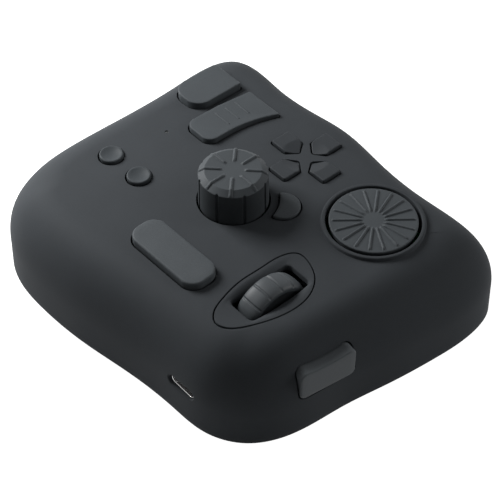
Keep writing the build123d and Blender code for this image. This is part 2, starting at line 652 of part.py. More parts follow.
# ------------------------------------------------------------------ boards
def main_board():
    board = slab(MAIN_BOARD_X, MAIN_BOARD_Y, MAIN_BOARD_BOTTOM, MAIN_BOARD_TOP)
    tab = USB_SHELL[0] / 2 + USB_TAB_MARGIN
    tab_end = USB_WALL_Y - WALL - BOARD_NOTCH
    board += slab((USB_X - tab, USB_X + tab), (0, tab_end), MAIN_BOARD_BOTTOM, MAIN_BOARD_TOP)
    board &= prism(cover_outline(BOARD_NOTCH), MAIN_BOARD_BOTTOM, MAIN_BOARD_TOP)
    for place in POSTS:
        board -= rod(place, POST_RADIUS + BOARD_NOTCH, MAIN_BOARD_BOTTOM, MAIN_BOARD_TOP)
    for place in STANDOFFS:
        board -= rod(place, BOARD_SCREW_RADIUS + HOLE_GAP, MAIN_BOARD_BOTTOM, MAIN_BOARD_TOP)
    return board


def key_board():
    x0, x1, y0, y1 = KEY_BOARD_FRONT
    board = slab((x0, x1), (y0, y1), KEY_BOARD_BOTTOM, KEY_BOARD_TOP)
    x0, x1, y0, y1 = KEY_BOARD_BACK
    board += slab((x0, x1), (y0, y1), KEY_BOARD_BOTTOM, KEY_BOARD_TOP)
    for place in POSTS:
        board -= rod(place, POST_RADIUS + BOARD_NOTCH, KEY_BOARD_BOTTOM, KEY_BOARD_TOP)
    for place in HANGERS:
        board -= rod(place, BOARD_SCREW_RADIUS + HOLE_GAP, KEY_BOARD_BOTTOM, KEY_BOARD_TOP)
    return board


def small_parts():
    """Chip capacitors and resistors in a ring round the controller."""
    parts = []
    for i in range(SMALL_PARTS):
        angle = 2 * pi * (i + 0.5) / SMALL_PARTS
        place = (CHIP_PLACE[0] + SMALL_PART_RING * cos(angle), CHIP_PLACE[1] + SMALL_PART_RING * sin(angle))
        parts.append(block(place, SMALL_PART, MAIN_BOARD_TOP))
    return parts


def board_connector():
    """Pin strip that fills the space between the two boards."""
    return block(CONNECTOR_PLACE, (*CONNECTOR, KEY_BOARD_BOTTOM - MAIN_BOARD_TOP), MAIN_BOARD_TOP)


save("main_board", main_board())
save("main_board_screws", *[board_screw(place, MAIN_BOARD_TOP, -1) for place in STANDOFFS])
save("key_board", key_board())
save("key_board_screws", *[board_screw(place, KEY_BOARD_BOTTOM, 1) for place in HANGERS])
save("board_connector", board_connector())
save("controller_chip", block(CHIP_PLACE, CHIP, MAIN_BOARD_TOP))
save("board_parts", *small_parts())


# ------------------------------------------------------------------ USB-C port
USB_MOUTH_Y = USB_WALL_Y - USB_SETBACK
USB_BACK_Y = USB_MOUTH_Y - USB_SHELL[2]


def usb_shell():
    """Drawn steel shell with a closed back."""
    bore = (USB_SHELL[0] - 2 * USB_SHELL_WALL, USB_SHELL[1] - 2 * USB_SHELL_WALL)
    outside = usb_prism(USB_SHELL[:2], USB_BACK_Y, USB_MOUTH_Y)
    return outside - usb_prism(bore, USB_BACK_Y + USB_BACK_WALL, USB_MOUTH_Y + OVERRUN)


def usb_tongue():
    start = USB_BACK_Y + USB_BACK_WALL
    width, thickness, length = USB_TONGUE
    return Pos(USB_X, start + length / 2, USB_Z) * Box(width, length, thickness)


save("usb_shell", usb_shell())
save("usb_tongue", usb_tongue())


# ------------------------------------------------------------------ push encoders, shared by knob and dial
BUSH_TOP = KEY_BOARD_TOP + ENCODER[2] + BUSH_HEIGHT


def encoder_body(place):
    """Square can with a round bush, bored for the shaft and the press plunger."""
    body = block(place, ENCODER, KEY_BOARD_TOP)
    body += rod(place, BUSH_RADIUS, KEY_BOARD_TOP, BUSH_TOP)
    return body - rod(place, SHAFT_RADIUS + SHAFT_GAP, KEY_BOARD_TOP + ENCODER_FLOOR, BUSH_TOP)


PRESS_LOW = KEY_BOARD_TOP + ENCODER_FLOOR + PRESS_TRAVEL + SHAFT_GAP
SHAFT_LOW = PRESS_LOW + PRESS_BUTTON


def press_button(place):
    """Plunger that the shaft pushes down on; it doesn't turn."""
    return rod(place, SHAFT_RADIUS, PRESS_LOW, SHAFT_LOW)


# ------------------------------------------------------------------ knob
KNOB_LOW = BODY_TOP - KNOB_SUNK
KNOB_TOP = BODY_TOP + KNOB_HEIGHT


def knob_cap():
    edge = KNOB_TOP - KNOB_CHAMFER
    profile = Polyline(
        (0, KNOB_LOW), (KNOB_FOOT_RADIUS, KNOB_LOW), (KNOB_SHOULDER_RADIUS, edge),
        (KNOB_TOP_RADIUS, KNOB_TOP), (0, KNOB_TOP), close=True,
    )
    cap = revolve(Plane.XZ * make_face(profile), Axis.Z)
    cap = fillet(cap.edges().filter_by(GeomType.CIRCLE).sort_by(Axis.Z)[-2:], EDGE_ROUND)
    length = KNOB_RIB_END - KNOB_RIB_START
    pitch = 360 / KNOB_RIBS
    raised = Pos(0, 0, KNOB_RIB_PROUD) * cap
    strip = Box(length, KNOB_RIB_WIDTH, 2 * KNOB_HEIGHT)
    strip = Pos(KNOB_RIB_START + length / 2, 0, KNOB_TOP) * strip
    flute = rod((KNOB_FOOT_RADIUS, 0), KNOB_FLUTE_RADIUS, KNOB_LOW, KNOB_TOP)
    ribs = raised & Compound(children=[Rot(0, 0, i * pitch) * strip for i in range(KNOB_RIBS)])
    for i in range(KNOB_RIBS):
        cap -= Rot(0, 0, (i + 0.5) * pitch) * flute
    cap = Pos(*KNOB_PLACE, 0) * (cap + ribs)
    return cap - rod(KNOB_PLACE, SHAFT_RADIUS, KNOB_LOW, KNOB_LOW + SHAFT_IN_CAP)


save("knob_cap", knob_cap())
save("knob_shaft", rod(KNOB_PLACE, SHAFT_RADIUS, SHAFT_LOW, KNOB_LOW + SHAFT_IN_CAP))
save("knob_press_button", press_button(KNOB_PLACE))
save("knob_encoder", encoder_body(KNOB_PLACE))

# ------------------------------------------------------------------ dial
DIAL_TOP = BODY_TOP + DIAL_PROUD
DIAL_LOW = DIAL_TOP - DIAL_THICKNESS
DIAL_HUB_LOW = BUSH_TOP + PRESS_TRAVEL + HUB_GAP


def dial_disc():
    disc = rod(DIAL_PLACE, DIAL_RADIUS, DIAL_LOW, DIAL_TOP)
    disc = chamfer(disc.faces().sort_by(Axis.Z)[-1].edges(), DIAL_BEVEL)
    length = DIAL_RADIUS - DIAL_BEVEL - DIAL_RIB_MARGIN - DIAL_RIB_START
    rib = Pos(DIAL_RIB_START + length / 2, 0, DIAL_LOW + DIAL_BEVEL)
    rib *= Box(length, DIAL_RIB_WIDTH, DIAL_TOP + DIAL_RIB_PROUD - DIAL_LOW - DIAL_BEVEL, align=LOW)
    for i in range(DIAL_RIBS):
        disc += Pos(*DIAL_PLACE, 0) * Rot(0, 0, (i + 0.5) * 360 / DIAL_RIBS) * rib
    disc += rod(DIAL_PLACE, HUB_RADIUS, DIAL_HUB_LOW, DIAL_LOW)
    return disc - rod(DIAL_PLACE, SHAFT_RADIUS, 0, DIAL_LOW + DIAL_THICKNESS / 2)


save("dial_disc", dial_disc())
save("dial_shaft", rod(DIAL_PLACE, SHAFT_RADIUS, SHAFT_LOW, DIAL_LOW + DIAL_THICKNESS / 2))
save("dial_press_button", press_button(DIAL_PLACE))
save("dial_encoder", encoder_body(DIAL_PLACE))


# ------------------------------------------------------------------ scroll wheel
def wheel_rod(radius, start, end):
    """Rod on the wheel's axis, from x = start to x = end off the wheel's middle."""
    return Pos(WHEEL_PLACE[0] + start, WHEEL_PLACE[1], AXLE_Z) * Rot(0, 90, 0) * Cylinder(
        radius, end - start, align=LOW
    )


CHEEK_INNER = WHEEL_WIDTH / 2 + CHEEK_GAP
CHEEK_OUTER = CHEEK_INNER + CRADLE_WALL


def scroll_hub():
    hub = wheel_rod(WHEEL_RADIUS - TYRE_THICKNESS, -WHEEL_WIDTH / 2, WHEEL_WIDTH / 2)
    return hub - wheel_rod(AXLE_RADIUS, -WHEEL_WIDTH, WHEEL_WIDTH)


def scroll_tyre():
    """Crowned rubber ring with fine grooves across it."""
    half, radius = WHEEL_WIDTH / 2, WHEEL_RADIUS
    inner = radius - TYRE_THICKNESS
    crown = ThreePointArc((-half, radius - TYRE_CROWN), (0, radius), (half, radius - TYRE_CROWN))
    sides = Polyline((half, radius - TYRE_CROWN), (half, inner), (-half, inner), (-half, radius - TYRE_CROWN))
    tyre = revolve(make_face(Curve() + [crown, sides]), Axis.X)
    groove = Rot(0, 90, 0) * Cylinder(TYRE_GROOVE_RADIUS, WHEEL_WIDTH, align=LOW)
    groove = Pos(-WHEEL_WIDTH / 2, 0, radius) * groove
    for i in range(TYRE_GROOVES):
        tyre -= Rot(-TYRE_PHASE - i * 360 / TYRE_GROOVES, 0, 0) * groove
    return Pos(*WHEEL_PLACE, AXLE_Z) * tyre


def scroll_cradle():
    """Frame round the wheel: two cheeks for the axle, two end bars that slide on the guide pins."""
    x, y = WHEEL_PLACE
    inner_y = WHEEL_RADIUS + CRADLE_CLEAR
    outer_y = inner_y + CRADLE_END
    frame = slab((x - CHEEK_OUTER, x + CHEEK_OUTER), (y - outer_y, y + outer_y), CRADLE_LOW, CRADLE_TOP)
    frame -= slab((x - CHEEK_INNER, x + CHEEK_INNER), (y - inner_y, y + inner_y), CRADLE_LOW, CRADLE_TOP)
    for place in cradle_ends():
        frame += rod(place, GUIDE_RADIUS + CRADLE_END / 2, CRADLE_LOW, CRADLE_TOP)
        frame -= rod(place, GUIDE_RADIUS + AXLE_GAP, CRADLE_LOW, CRADLE_TOP)
    frame -= wheel_rod(AXLE_RADIUS + AXLE_GAP, -CHEEK_OUTER - OVERRUN, CHEEK_OUTER + OVERRUN)
    foot = scroll_foot_place()
    return frame + rod(foot, STEM_RADIUS, SCROLL_PLUNGER_TOP, CRADLE_LOW)


def scroll_foot_place():
    """The press foot stands under a cheek, beside the wheel's front end."""
    return (WHEEL_PLACE[0] + CHEEK_OUTER - STEM_RADIUS, WHEEL_PLACE[1] - WHEEL_RADIUS - CRADLE_CLEAR)


SCROLL_SWITCH_TOP = MAIN_BOARD_TOP + SWITCH[2]
SCROLL_PLUNGER_TOP = SCROLL_SWITCH_TOP + PLUNGER_PROUD


def scroll_switch():
    place = scroll_foot_place()
    low = SCROLL_SWITCH_TOP - PLUNGER_DEPTH - PRESS_TRAVEL - PLUNGER_GAP
    well = rod(place, PLUNGER_RADIUS + PLUNGER_GAP, low, SCROLL_SWITCH_TOP)
    return block(place, SWITCH, MAIN_BOARD_TOP) - well


def scroll_plunger():
    return rod(scroll_foot_place(), PLUNGER_RADIUS, SCROLL_SWITCH_TOP - PLUNGER_DEPTH, SCROLL_PLUNGER_TOP)


def scroll_encoder():
    """Ring encoder clipped to the right cheek; the axle's end turns in it."""
    width, depth, height = SCROLL_ENCODER
    low = AXLE_Z - height / 2
    x, y = WHEEL_PLACE[0] + CHEEK_OUTER, WHEEL_PLACE[1]
    body = slab((x, x + width), (y - depth / 2, y + depth / 2), low, low + height)
    return body - wheel_rod(AXLE_RADIUS + AXLE_GAP, 0, CHEEK_OUTER + width)


def scroll_bezel():
    bezel = prism(bezel_outline(), BODY_TOP - BEZEL_THICKNESS, BODY_TOP)
    return bezel - prism(slot_outline(), BODY_TOP - BEZEL_THICKNESS, BODY_TOP)


save("scroll_hub", scroll_hub())
save("scroll_tyre", scroll_tyre())
save("scroll_axle", wheel_rod(AXLE_RADIUS, -CHEEK_OUTER, CHEEK_OUTER + SCROLL_ENCODER[0]))
save("scroll_cradle", scroll_cradle())
save("scroll_encoder", scroll_encoder())
save("scroll_plunger", scroll_plunger())
save("scroll_switch", scroll_switch())
save("scroll_bezel", scroll_bezel())


# ------------------------------------------------------------------ power light
def light_pipe():
    """Clear rod in a pinhole, with a collar glued under the roof."""
    pipe = rod(LED_PLACE, PIPE_RADIUS, KEY_BOARD_TOP + LED_SIZE[2], BODY_TOP - PIPE_SUNK)
    return pipe + rod(LED_PLACE, PIPE_COLLAR_RADIUS, ROOF_UNDER - PIPE_COLLAR, ROOF_UNDER)


save("power_led", block(LED_PLACE, LED_SIZE, KEY_BOARD_TOP))
save("light_pipe", light_pipe())
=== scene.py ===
"""Finished look of the desktop macro keypad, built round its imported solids.

Sizes are in millimetres and are turned to the scene's metres by MM; +Z is up.
"""
import json
from math import atan2, cos, degrees, hypot, pi, radians, sin, sqrt, tan

import bmesh
import bpy
import numpy as np
from mathutils import Matrix, Vector
from mathutils.bvhtree import BVHTree

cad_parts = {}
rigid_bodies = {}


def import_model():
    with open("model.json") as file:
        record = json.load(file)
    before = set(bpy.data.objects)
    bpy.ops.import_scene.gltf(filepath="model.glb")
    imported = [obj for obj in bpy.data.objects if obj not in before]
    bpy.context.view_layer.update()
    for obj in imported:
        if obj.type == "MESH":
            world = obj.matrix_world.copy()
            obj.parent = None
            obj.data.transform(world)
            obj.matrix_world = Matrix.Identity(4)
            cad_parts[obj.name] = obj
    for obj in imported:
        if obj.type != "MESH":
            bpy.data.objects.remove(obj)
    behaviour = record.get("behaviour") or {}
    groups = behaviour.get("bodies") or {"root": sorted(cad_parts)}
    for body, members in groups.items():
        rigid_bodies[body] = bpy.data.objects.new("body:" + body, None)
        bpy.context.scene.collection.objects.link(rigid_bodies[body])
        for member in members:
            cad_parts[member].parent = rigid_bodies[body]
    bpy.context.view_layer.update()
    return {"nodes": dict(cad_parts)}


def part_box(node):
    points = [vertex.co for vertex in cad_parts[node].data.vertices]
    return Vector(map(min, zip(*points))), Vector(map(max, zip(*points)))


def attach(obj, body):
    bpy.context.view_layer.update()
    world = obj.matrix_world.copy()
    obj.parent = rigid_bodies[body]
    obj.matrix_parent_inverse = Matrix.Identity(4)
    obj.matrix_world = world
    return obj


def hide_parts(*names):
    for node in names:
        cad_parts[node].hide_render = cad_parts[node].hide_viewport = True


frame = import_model()
MM = 0.001


# ------------------------------------------------------------------ studio
# A pale floor, a small soft lamp over the right of the desk and a larger one farther off across
# from it. The floor and the world are white to the camera, in metal and through glass, and dim
# for all other light.
def linear(code):
    """Linear colour of an sRGB hex value."""
    values = [int(code[i:i + 2], 16) / 255 for i in (1, 3, 5)]
    return [v / 12.92 if v <= 0.04045 else ((v + 0.055) / 1.055) ** 2.4 for v in values] + [1.0]


def add_node(tree, kind, sockets=None, **settings):
    """Add a node with its settings; a socket takes a value or another node's output."""
    made = tree.nodes.new(kind)
    for name, value in settings.items():
        setattr(made, name, value)
    for name, value in (sockets or {}).items():
        if isinstance(value, bpy.types.NodeSocket):
            tree.links.new(value, made.inputs[name])
        else:
            made.inputs[name].default_value = value
    return made


def seen_directly(tree):
    """1 for rays that see a surface directly, in a mirror or through glass, else 0."""
    path = add_node(tree, "ShaderNodeLightPath")
    mirrored = add_node(tree, "ShaderNodeMath", {
        0: path.outputs["Is Camera Ray"], 1: path.outputs["Is Glossy Ray"]}, operation="MAXIMUM")
    return add_node(tree, "ShaderNodeMath", {
        0: mirrored.outputs[0], 1: path.outputs["Is Transmission Ray"]}, operation="MAXIMUM").outputs[0]


CAMERA_PLACE = (-216.87, 184.38, 315.93)
CAMERA_TARGET = (-15.285, 9.15, 29.5)
LENS = 108.0
FLOOR_COLOUR = "#b8b8b8"
FLOOR_SIZE = 3.0            # in metres
WORLD_COLOUR = "#ffffff"
WORLD_STRENGTH = 0.12
# places and sizes in metres, powers in watts
KEY_LAMP = {"place": (0.215, 0.06, 0.175), "size": 0.13, "power": 1.15}
FILL_LAMP = {"place": (-0.36, -0.54, 0.24), "size": 0.35, "power": 1.5}

camera = bpy.data.objects.new("camera", bpy.data.cameras.new("camera"))
camera.data.lens = LENS
camera.data.sensor_width = 36.0
camera.location = Vector(CAMERA_PLACE) * MM
towards = (Vector(CAMERA_TARGET) - Vector(CAMERA_PLACE)).normalized()
camera.rotation_mode = "QUATERNION"
camera.rotation_quaternion = towards.to_track_quat("-Z", "Y")
bpy.context.collection.objects.link(camera)
bpy.context.scene.camera = camera
bpy.context.scene.view_settings.view_transform = "Standard"

world = bpy.data.worlds.new("studio")
world.use_nodes = True
world.node_tree.nodes.clear()
lit = add_node(world.node_tree, "ShaderNodeBackground", {
    "Color": linear(WORLD_COLOUR), "Strength": WORLD_STRENGTH})
shown = add_node(world.node_tree, "ShaderNodeBackground", {"Color": linear(WORLD_COLOUR), "Strength": 1.0})
mixed = add_node(world.node_tree, "ShaderNodeMixShader", {
    0: seen_directly(world.node_tree), 1: lit.outputs[0], 2: shown.outputs[0]})
add_node(world.node_tree, "ShaderNodeOutputWorld", {"Surface": mixed.outputs[0]})
bpy.context.scene.world = world

floor_mesh = bpy.data.meshes.new("floor")
half = FLOOR_SIZE / 2
floor_mesh.from_pydata([(-half, -half, 0), (half, -half, 0), (half, half, 0), (-half, half, 0)], [], [(0, 1, 2, 3)])
floor = bpy.data.objects.new("floor", floor_mesh)
bpy.context.collection.objects.link(floor)
floor_finish = bpy.data.materials.new("pale paper floor")
floor_finish.use_nodes = True
tree = floor_finish.node_tree
tree.nodes.clear()
paper = add_node(tree, "ShaderNodeBsdfDiffuse", {"Color": linear(FLOOR_COLOUR)})
glow = add_node(tree, "ShaderNodeEmission", {"Color": linear(WORLD_COLOUR), "Strength": seen_directly(tree)})
both = add_node(tree, "ShaderNodeAddShader", {0: paper.outputs[0], 1: glow.outputs[0]})
add_node(tree, "ShaderNodeOutputMaterial", {"Surface": both.outputs[0]})
floor_mesh.materials.append(floor_finish)

for name, lamp in (("key lamp", KEY_LAMP), ("fill lamp", FILL_LAMP)):
    light = bpy.data.lights.new(name, "AREA")
    light.shape = "SQUARE"
    light.size = lamp["size"]
    light.energy = lamp["power"]
    holder = bpy.data.objects.new(name, light)
    holder.location = lamp["place"]
    holder.rotation_mode = "QUATERNION"
    holder.rotation_quaternion = (-Vector(lamp["place"])).to_track_quat("-Z", "Y")
    bpy.context.collection.objects.link(holder)


# ------------------------------------------------------------------ housing
# One moulded ABS shell, walls and top together, sprayed with soft-touch paint. Every opening
# has a softly rounded mouth, and the dial's collar rises out of the top in one sweep.
BODY_TOP = 29.5
RIM_HEIGHT = 0.5
RIM_BEVEL = 0.6
SHOULDER_HEIGHT = 9.5
WALL_DRAFT = 0.04
ROLL_POWER = 2.2
WALL = 2.2
ROOF = 2.2
ROOF_UNDER = BODY_TOP - ROOF
# places round the foot of the wall (x, y), and how far in from each the top runs flat
STATIONS = [
    (56.0, 0.0, 13.2), (56.2, 16.0, 13.4), (54.9, 31.0, 14.5), (50.2, 41.8, 17.0),
    (40.4, 47.9, 14.5), (26.0, 49.6, 13.2), (9.0, 48.4, 13.0), (-8.0, 45.5, 13.0),
    (-24.0, 43.9, 13.0), (-36.1, 42.7, 14.5), (-45.6, 37.0, 17.0), (-51.0, 27.0, 14.5),
    (-53.4, 10.0, 13.2), (-56.0, -5.0, 14.5), (-58.0, -20.0, 17.0), (-58.5, -32.7, 18.0),
    (-54.4, -44.6, 19.0), (-42.1, -48.2, 16.0), (-26.0, -46.7, 13.4), (-11.0, -47.4, 13.0),
    (5.0, -49.0, 13.0), (18.0, -47.5, 13.0), (29.0, -47.0, 13.4), (42.0, -48.3, 15.0),
    (53.8, -44.8, 17.5), (57.7, -32.2, 15.0), (56.4, -17.0, 13.3),
]
AROUND = 432                # points round each ring of the shell
ROLL_RINGS = 30
ROOM_AROUND = 160           # and of the room inside it
ROOM_ROLL_RINGS = 14
WELD = 0.002                # points closer than this are one
POLE_EDGES = 40             # the middle of a fan has more edges than this
ARC_STEP = 0.22             # distance between the points of a rounded corner
PROBE = 60.0                # how far out a ray starts that looks for the surface
OVERRUN = 3                 # how far a cutter stands out of the surface


def new_piece(name, mesh, finish, body, replaces=(), sharp=38.0):
    """Clean a mesh, shade it, and hand it over as a piece that rides on a body."""
    shape = bmesh.new()
    shape.from_mesh(mesh)
    bmesh.ops.remove_doubles(shape, verts=shape.verts, dist=WELD * MM)
    bmesh.ops.dissolve_degenerate(shape, dist=WELD / 2 * MM, edges=shape.edges)
    bmesh.ops.recalc_face_normals(shape, faces=shape.faces)
    shape.to_mesh(mesh)
    shape.free()
    mesh.shade_smooth()
    mesh.set_sharp_from_angle(angle=radians(sharp))
    mesh.materials.clear()
    mesh.materials.append(finish)
    piece = bpy.data.objects.new(name, mesh)
    bpy.context.collection.objects.link(piece)
    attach(piece, body)
    if replaces:
        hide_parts(*replaces)
    return piece


def skin(name, rings, loop=False):
    """Closed mesh through rings of alike points (mm); the ends are closed, or joined in a loop."""
    rings = [np.asarray(ring, float) for ring in rings]
    count, places, faces = len(rings[0]), np.concatenate(rings), []
    spans = list(zip(range(len(rings)), range(1, len(rings))))
    if loop:
        spans.append((len(rings) - 1, 0))
    for low, high in spans:
        for i in range(count):
            j = (i + 1) % count
            faces.append((low * count + i, low * count + j, high * count + j, high * count + i))
    if not loop:
        for ring, start in ((rings[0], 0), (rings[-1], (len(rings) - 1) * count)):
            places = np.vstack([places, ring.mean(0)])
            pole = len(places) - 1
            faces += [(start + i, start + (i + 1) % count, pole) for i in range(count)]
    mesh = bpy.data.meshes.new(name)
    mesh.from_pydata((places * MM).tolist(), [], faces)
    shape = bmesh.new()
    shape.from_mesh(mesh)
    bmesh.ops.remove_doubles(shape, verts=shape.verts, dist=WELD * MM)
    bmesh.ops.recalc_face_normals(shape, faces=shape.faces)
    shape.to_mesh(mesh)
    shape.free()
    return mesh


def lift(outline, height):
    """Flat outline as a ring at one height, or at a height for each point."""
    outline = np.asarray(outline, float)
    return np.column_stack([outline[:, :2], np.broadcast_to(height, len(outline))])


def grown(outline, amount):
    """Closed outline, listed anticlockwise, moved outward by amount."""
    outline = np.asarray(outline, float)
    along = np.roll(outline, -1, 0) - outline
    along /= np.linalg.norm(along, axis=1)[:, None]
    after = np.column_stack([along[:, 1], -along[:, 0]])
    before = np.roll(after, 1, 0)
    middle = before + after
    middle /= np.linalg.norm(middle, axis=1)[:, None]
    reach = 1 / np.maximum((middle * after).sum(1), 0.6)
    return outline + middle * (amount * reach)[:, None]


def closed_curve(points, knots, count):
    """Smooth closed line through the points, as a periodic cubic of the knots' parameter."""
    points, steps = np.asarray(points, float), np.diff(knots)
    n = len(points)
    matrix, right = np.zeros((n, n)), np.zeros_like(points)
    for i in range(n):
        matrix[i, i - 1] += steps[i - 1]
        matrix[i, i] += 2 * (steps[i - 1] + steps[i])
        matrix[i, (i + 1) % n] += steps[i]
        right[i] = 6 * ((points[(i + 1) % n] - points[i]) / steps[i] - (points[i] - points[i - 1]) / steps[i - 1])
    bend = np.linalg.solve(matrix, right)
    place = np.linspace(0, knots[-1], count, endpoint=False)
    i = np.searchsorted(knots, place, side="right") - 1
    j = (i + 1) % n
    step = steps[i][:, None]
    b = (place - np.asarray(knots)[i])[:, None] / step
    a = 1 - b
    return a * points[i] + b * points[j] + ((a**3 - a) * bend[i] + (b**3 - b) * bend[j]) * step**2 / 6


def spacing(points):
    """Distance along a closed row of points, from the first back to itself."""
    gaps = [hypot(b[0] - a[0], b[1] - a[1]) for a, b in zip(points, points[1:] + points[:1])]
    return np.concatenate([[0], np.cumsum(gaps)])


def moved_stations(insets):
    """The stations moved into the body, each by its own inset."""
    moved = []
    for i, inset in enumerate(insets):
        ahead, behind = STATIONS[(i + 1) % len(STATIONS)], STATIONS[i - 1]
        along = Vector((ahead[0] - behind[0], ahead[1] - behind[1])).normalized()
        moved.append((STATIONS[i][0] - along.y * inset, STATIONS[i][1] + along.x * inset))
    return moved


def wall_ring(height, wall=0.0, count=AROUND):
    """Ring of the straight wall."""
    inset = wall + WALL_DRAFT * height
    return lift(closed_curve(moved_stations([inset] * len(STATIONS)), spacing(STATIONS), count), height)


def roll_ring(level, wall=0.0, roof=0.0, count=AROUND):
    """Ring of the roll-over, from the shoulder at level 0 to the flat top at level 1."""
    turn = level * pi / 2
    reach = 1 - cos(turn) ** (2 / ROLL_POWER) if level < 1 else 1.0
    rise = sin(turn) ** (2 / ROLL_POWER) if level > 0 else 0.0
    insets = [wall + WALL_DRAFT * SHOULDER_HEIGHT + (crown - wall) * reach for _, _, crown in STATIONS]
    height = SHOULDER_HEIGHT + (BODY_TOP - roof - SHOULDER_HEIGHT) * rise
    return lift(closed_curve(moved_stations(insets), spacing(STATIONS), count), height)


def cap_flat(mesh):
    """Turn the fans that close a skin into single flat faces."""
    shape = bmesh.new()
    shape.from_mesh(mesh)
    poles = [v for v in shape.verts if len(v.link_edges) > POLE_EDGES]
    bmesh.ops.dissolve_verts(shape, verts=poles)
    shape.to_mesh(mesh)
    shape.free()
    return mesh


def combine(mesh, others, operation):
    """The mesh joined with, or cut by, other closed meshes."""
    work = bpy.data.objects.new("work", mesh)
    bpy.context.collection.objects.link(work)
    tools = bpy.data.collections.new("tools")
    bpy.context.scene.collection.children.link(tools)
    for other in others:
        tools.objects.link(bpy.data.objects.new("tool", other))
    change = work.modifiers.new("combine", "BOOLEAN")
    change.solver = "MANIFOLD"
    change.operation = operation
    change.operand_type = "COLLECTION"
    change.collection = tools
    result = bpy.data.meshes.new_from_object(work.evaluated_get(bpy.context.evaluated_depsgraph_get()))
    for item in [work, *tools.objects]:
        bpy.data.objects.remove(item)
    bpy.data.collections.remove(tools)
    return result


def shell_mesh():
    """The outer surface down to the rim, and the room inside."""
    edge = RIM_HEIGHT + RIM_BEVEL
    rings = [wall_ring(RIM_HEIGHT, RIM_BEVEL), wall_ring(RIM_HEIGHT + RIM_BEVEL * 0.3, RIM_BEVEL * 0.3)]
    rings += [wall_ring(height) for height in np.linspace(edge, SHOULDER_HEIGHT, 6)[:-1]]
    rings += [roll_ring(level) for level in np.linspace(0, 1, ROLL_RINGS)]
    outer = cap_flat(skin("shell", rings))
    rings = [wall_ring(height, WALL, ROOM_AROUND) for height in (RIM_HEIGHT - 1, SHOULDER_HEIGHT - 0.01)]
    rings += [roll_ring(level, WALL, ROOF, ROOM_AROUND) for level in np.linspace(0, 1, ROOM_ROLL_RINGS)]
    return combine(outer, [cap_flat(skin("room", rings))], "DIFFERENCE")


def circle(place, radius, count=96):
    """Flat outline of a circle."""
    turns = np.arange(count) * 2 * pi / count
    return np.column_stack([place[0] + radius * np.cos(turns), place[1] + radius * np.sin(turns)])


def rounded(corners, step=0.6):
    """Closed outline from anticlockwise corners (x, y, radius), with close points on its arcs."""
    outline = []
    for i, (x, y, radius) in enumerate(corners):
        here = Vector((x, y))
        before = (Vector(corners[i - 1][:2]) - here)
        after = (Vector(corners[(i + 1) % len(corners)][:2]) - here)
        if radius:
            half = before.angle(after) / 2
            reach = radius / tan(half)
            start, end = here + before.normalized() * reach, here + after.normalized() * reach
            centre = here + (before.normalized() + after.normalized()).normalized() * radius / sin(half)
            first, last = start - centre, end - centre
            turn = atan2(first.x * last.y - first.y * last.x, first.dot(last))
            count = max(6, int(abs(turn) * radius / ARC_STEP))
            arc = []
            for k in range(count + 1):
                a = turn * k / count
                arc.append(centre + Vector((
                    first.x * cos(a) - first.y * sin(a), first.x * sin(a) + first.y * cos(a))))
        else:
            arc = [here]
        outline.append(arc)
    points = []
    for i, arc in enumerate(outline):
        points += arc
        end, start = arc[-1], outline[(i + 1) % len(outline)][0]
        count = int((start - end).length / step)
        points += [end.lerp(start, k / (count + 1)) for k in range(1, count + 1)]
    return np.array([(p.x, p.y) for p in points])


def oblong(low, high, corner, step=0.6):
    """Outline of a box between two opposite corners, rounded at all four."""
    (x0, y0), (x1, y1) = low, high
    return rounded([(x0, y0, corner), (x1, y0, corner), (x1, y1, corner), (x0, y1, corner)], step)


def turned(outline, place, turn):
    """Outline turned about its own origin, in degrees, and set down at a place."""
    c, s = cos(radians(turn)), sin(radians(turn))
    return np.asarray(outline) @ np.array([[c, s], [-s, c]]) + np.asarray(place)


UPWARD = (Vector((0, 0, 0)), Vector((1, 0, 0)), Vector((0, 1, 0)), Vector((0, 0, 1)))


def ring_in(axes, outline, out):
    """Ring drawn in a place's own axes (origin, along, across, out), at a distance out for each point."""
    origin, along, across, outward = (np.array(v) for v in axes)
    outline = np.asarray(outline)
    out = np.broadcast_to(out, len(outline))[:, None]
    return origin + outline[:, :1] * along + outline[:, 1:2] * across + out * outward


def surface_tree(mesh):
    """The mesh as rays can find it."""
    return BVHTree.FromPolygons([v.co.copy() for v in mesh.vertices], [p.vertices[:] for p in mesh.polygons])


def surface_out(tree, axes, outline):
    """How far out the surface lies at each point of an outline drawn in a place's axes."""
    start = ring_in(axes, outline, PROBE)
    hits = [tree.ray_cast(Vector(p) * MM, -axes[3]) for p in start]
    return np.array([PROBE - hit[3] / MM for hit in hits])


def bored(tree, outline, depth, mouth, axes=UPWARD):
    """Cutter for an opening that goes in to a depth, with a rounded mouth that follows the surface."""
    edge = surface_out(tree, axes, grown(outline, mouth))
    rings = [ring_in(axes, outline, depth), ring_in(axes, outline, edge - mouth)]
    for k in range(1, 5):
        a = k * pi / 8
        rings.append(ring_in(axes, grown(outline, mouth * (1 - cos(a))), edge - mouth + mouth * sin(a)))
    rings.append(ring_in(axes, grown(outline, mouth), edge.max() + OVERRUN))
    return skin("bore", rings)


KNOB_PLACE = (1.9, 0.1)
DIAL_PLACE = (-29.3, -22.1)
DIAL_HOLE_RADIUS = 12.9
COLLAR_RADIUS = 14.0
COLLAR_PROUD = 1.0
COLLAR_ROUND = 0.4           # outer edge of its crest
COLLAR_LIP = 0.3             # inner edge of its crest
COLLAR_BLEND = 0.5           # sweep between the collar's side and the top
COLLAR_FALL = 8              # how steep its outer side is
COLLAR_REACH = 1.5           # how far past its radius its rings go on
COLLAR_SUNK = 0.04           # how far they lie under the top where the sweep has ended
COLLAR_ROOT = 1.1            # how deep it is let into the roof
COLLAR_AROUND = 168


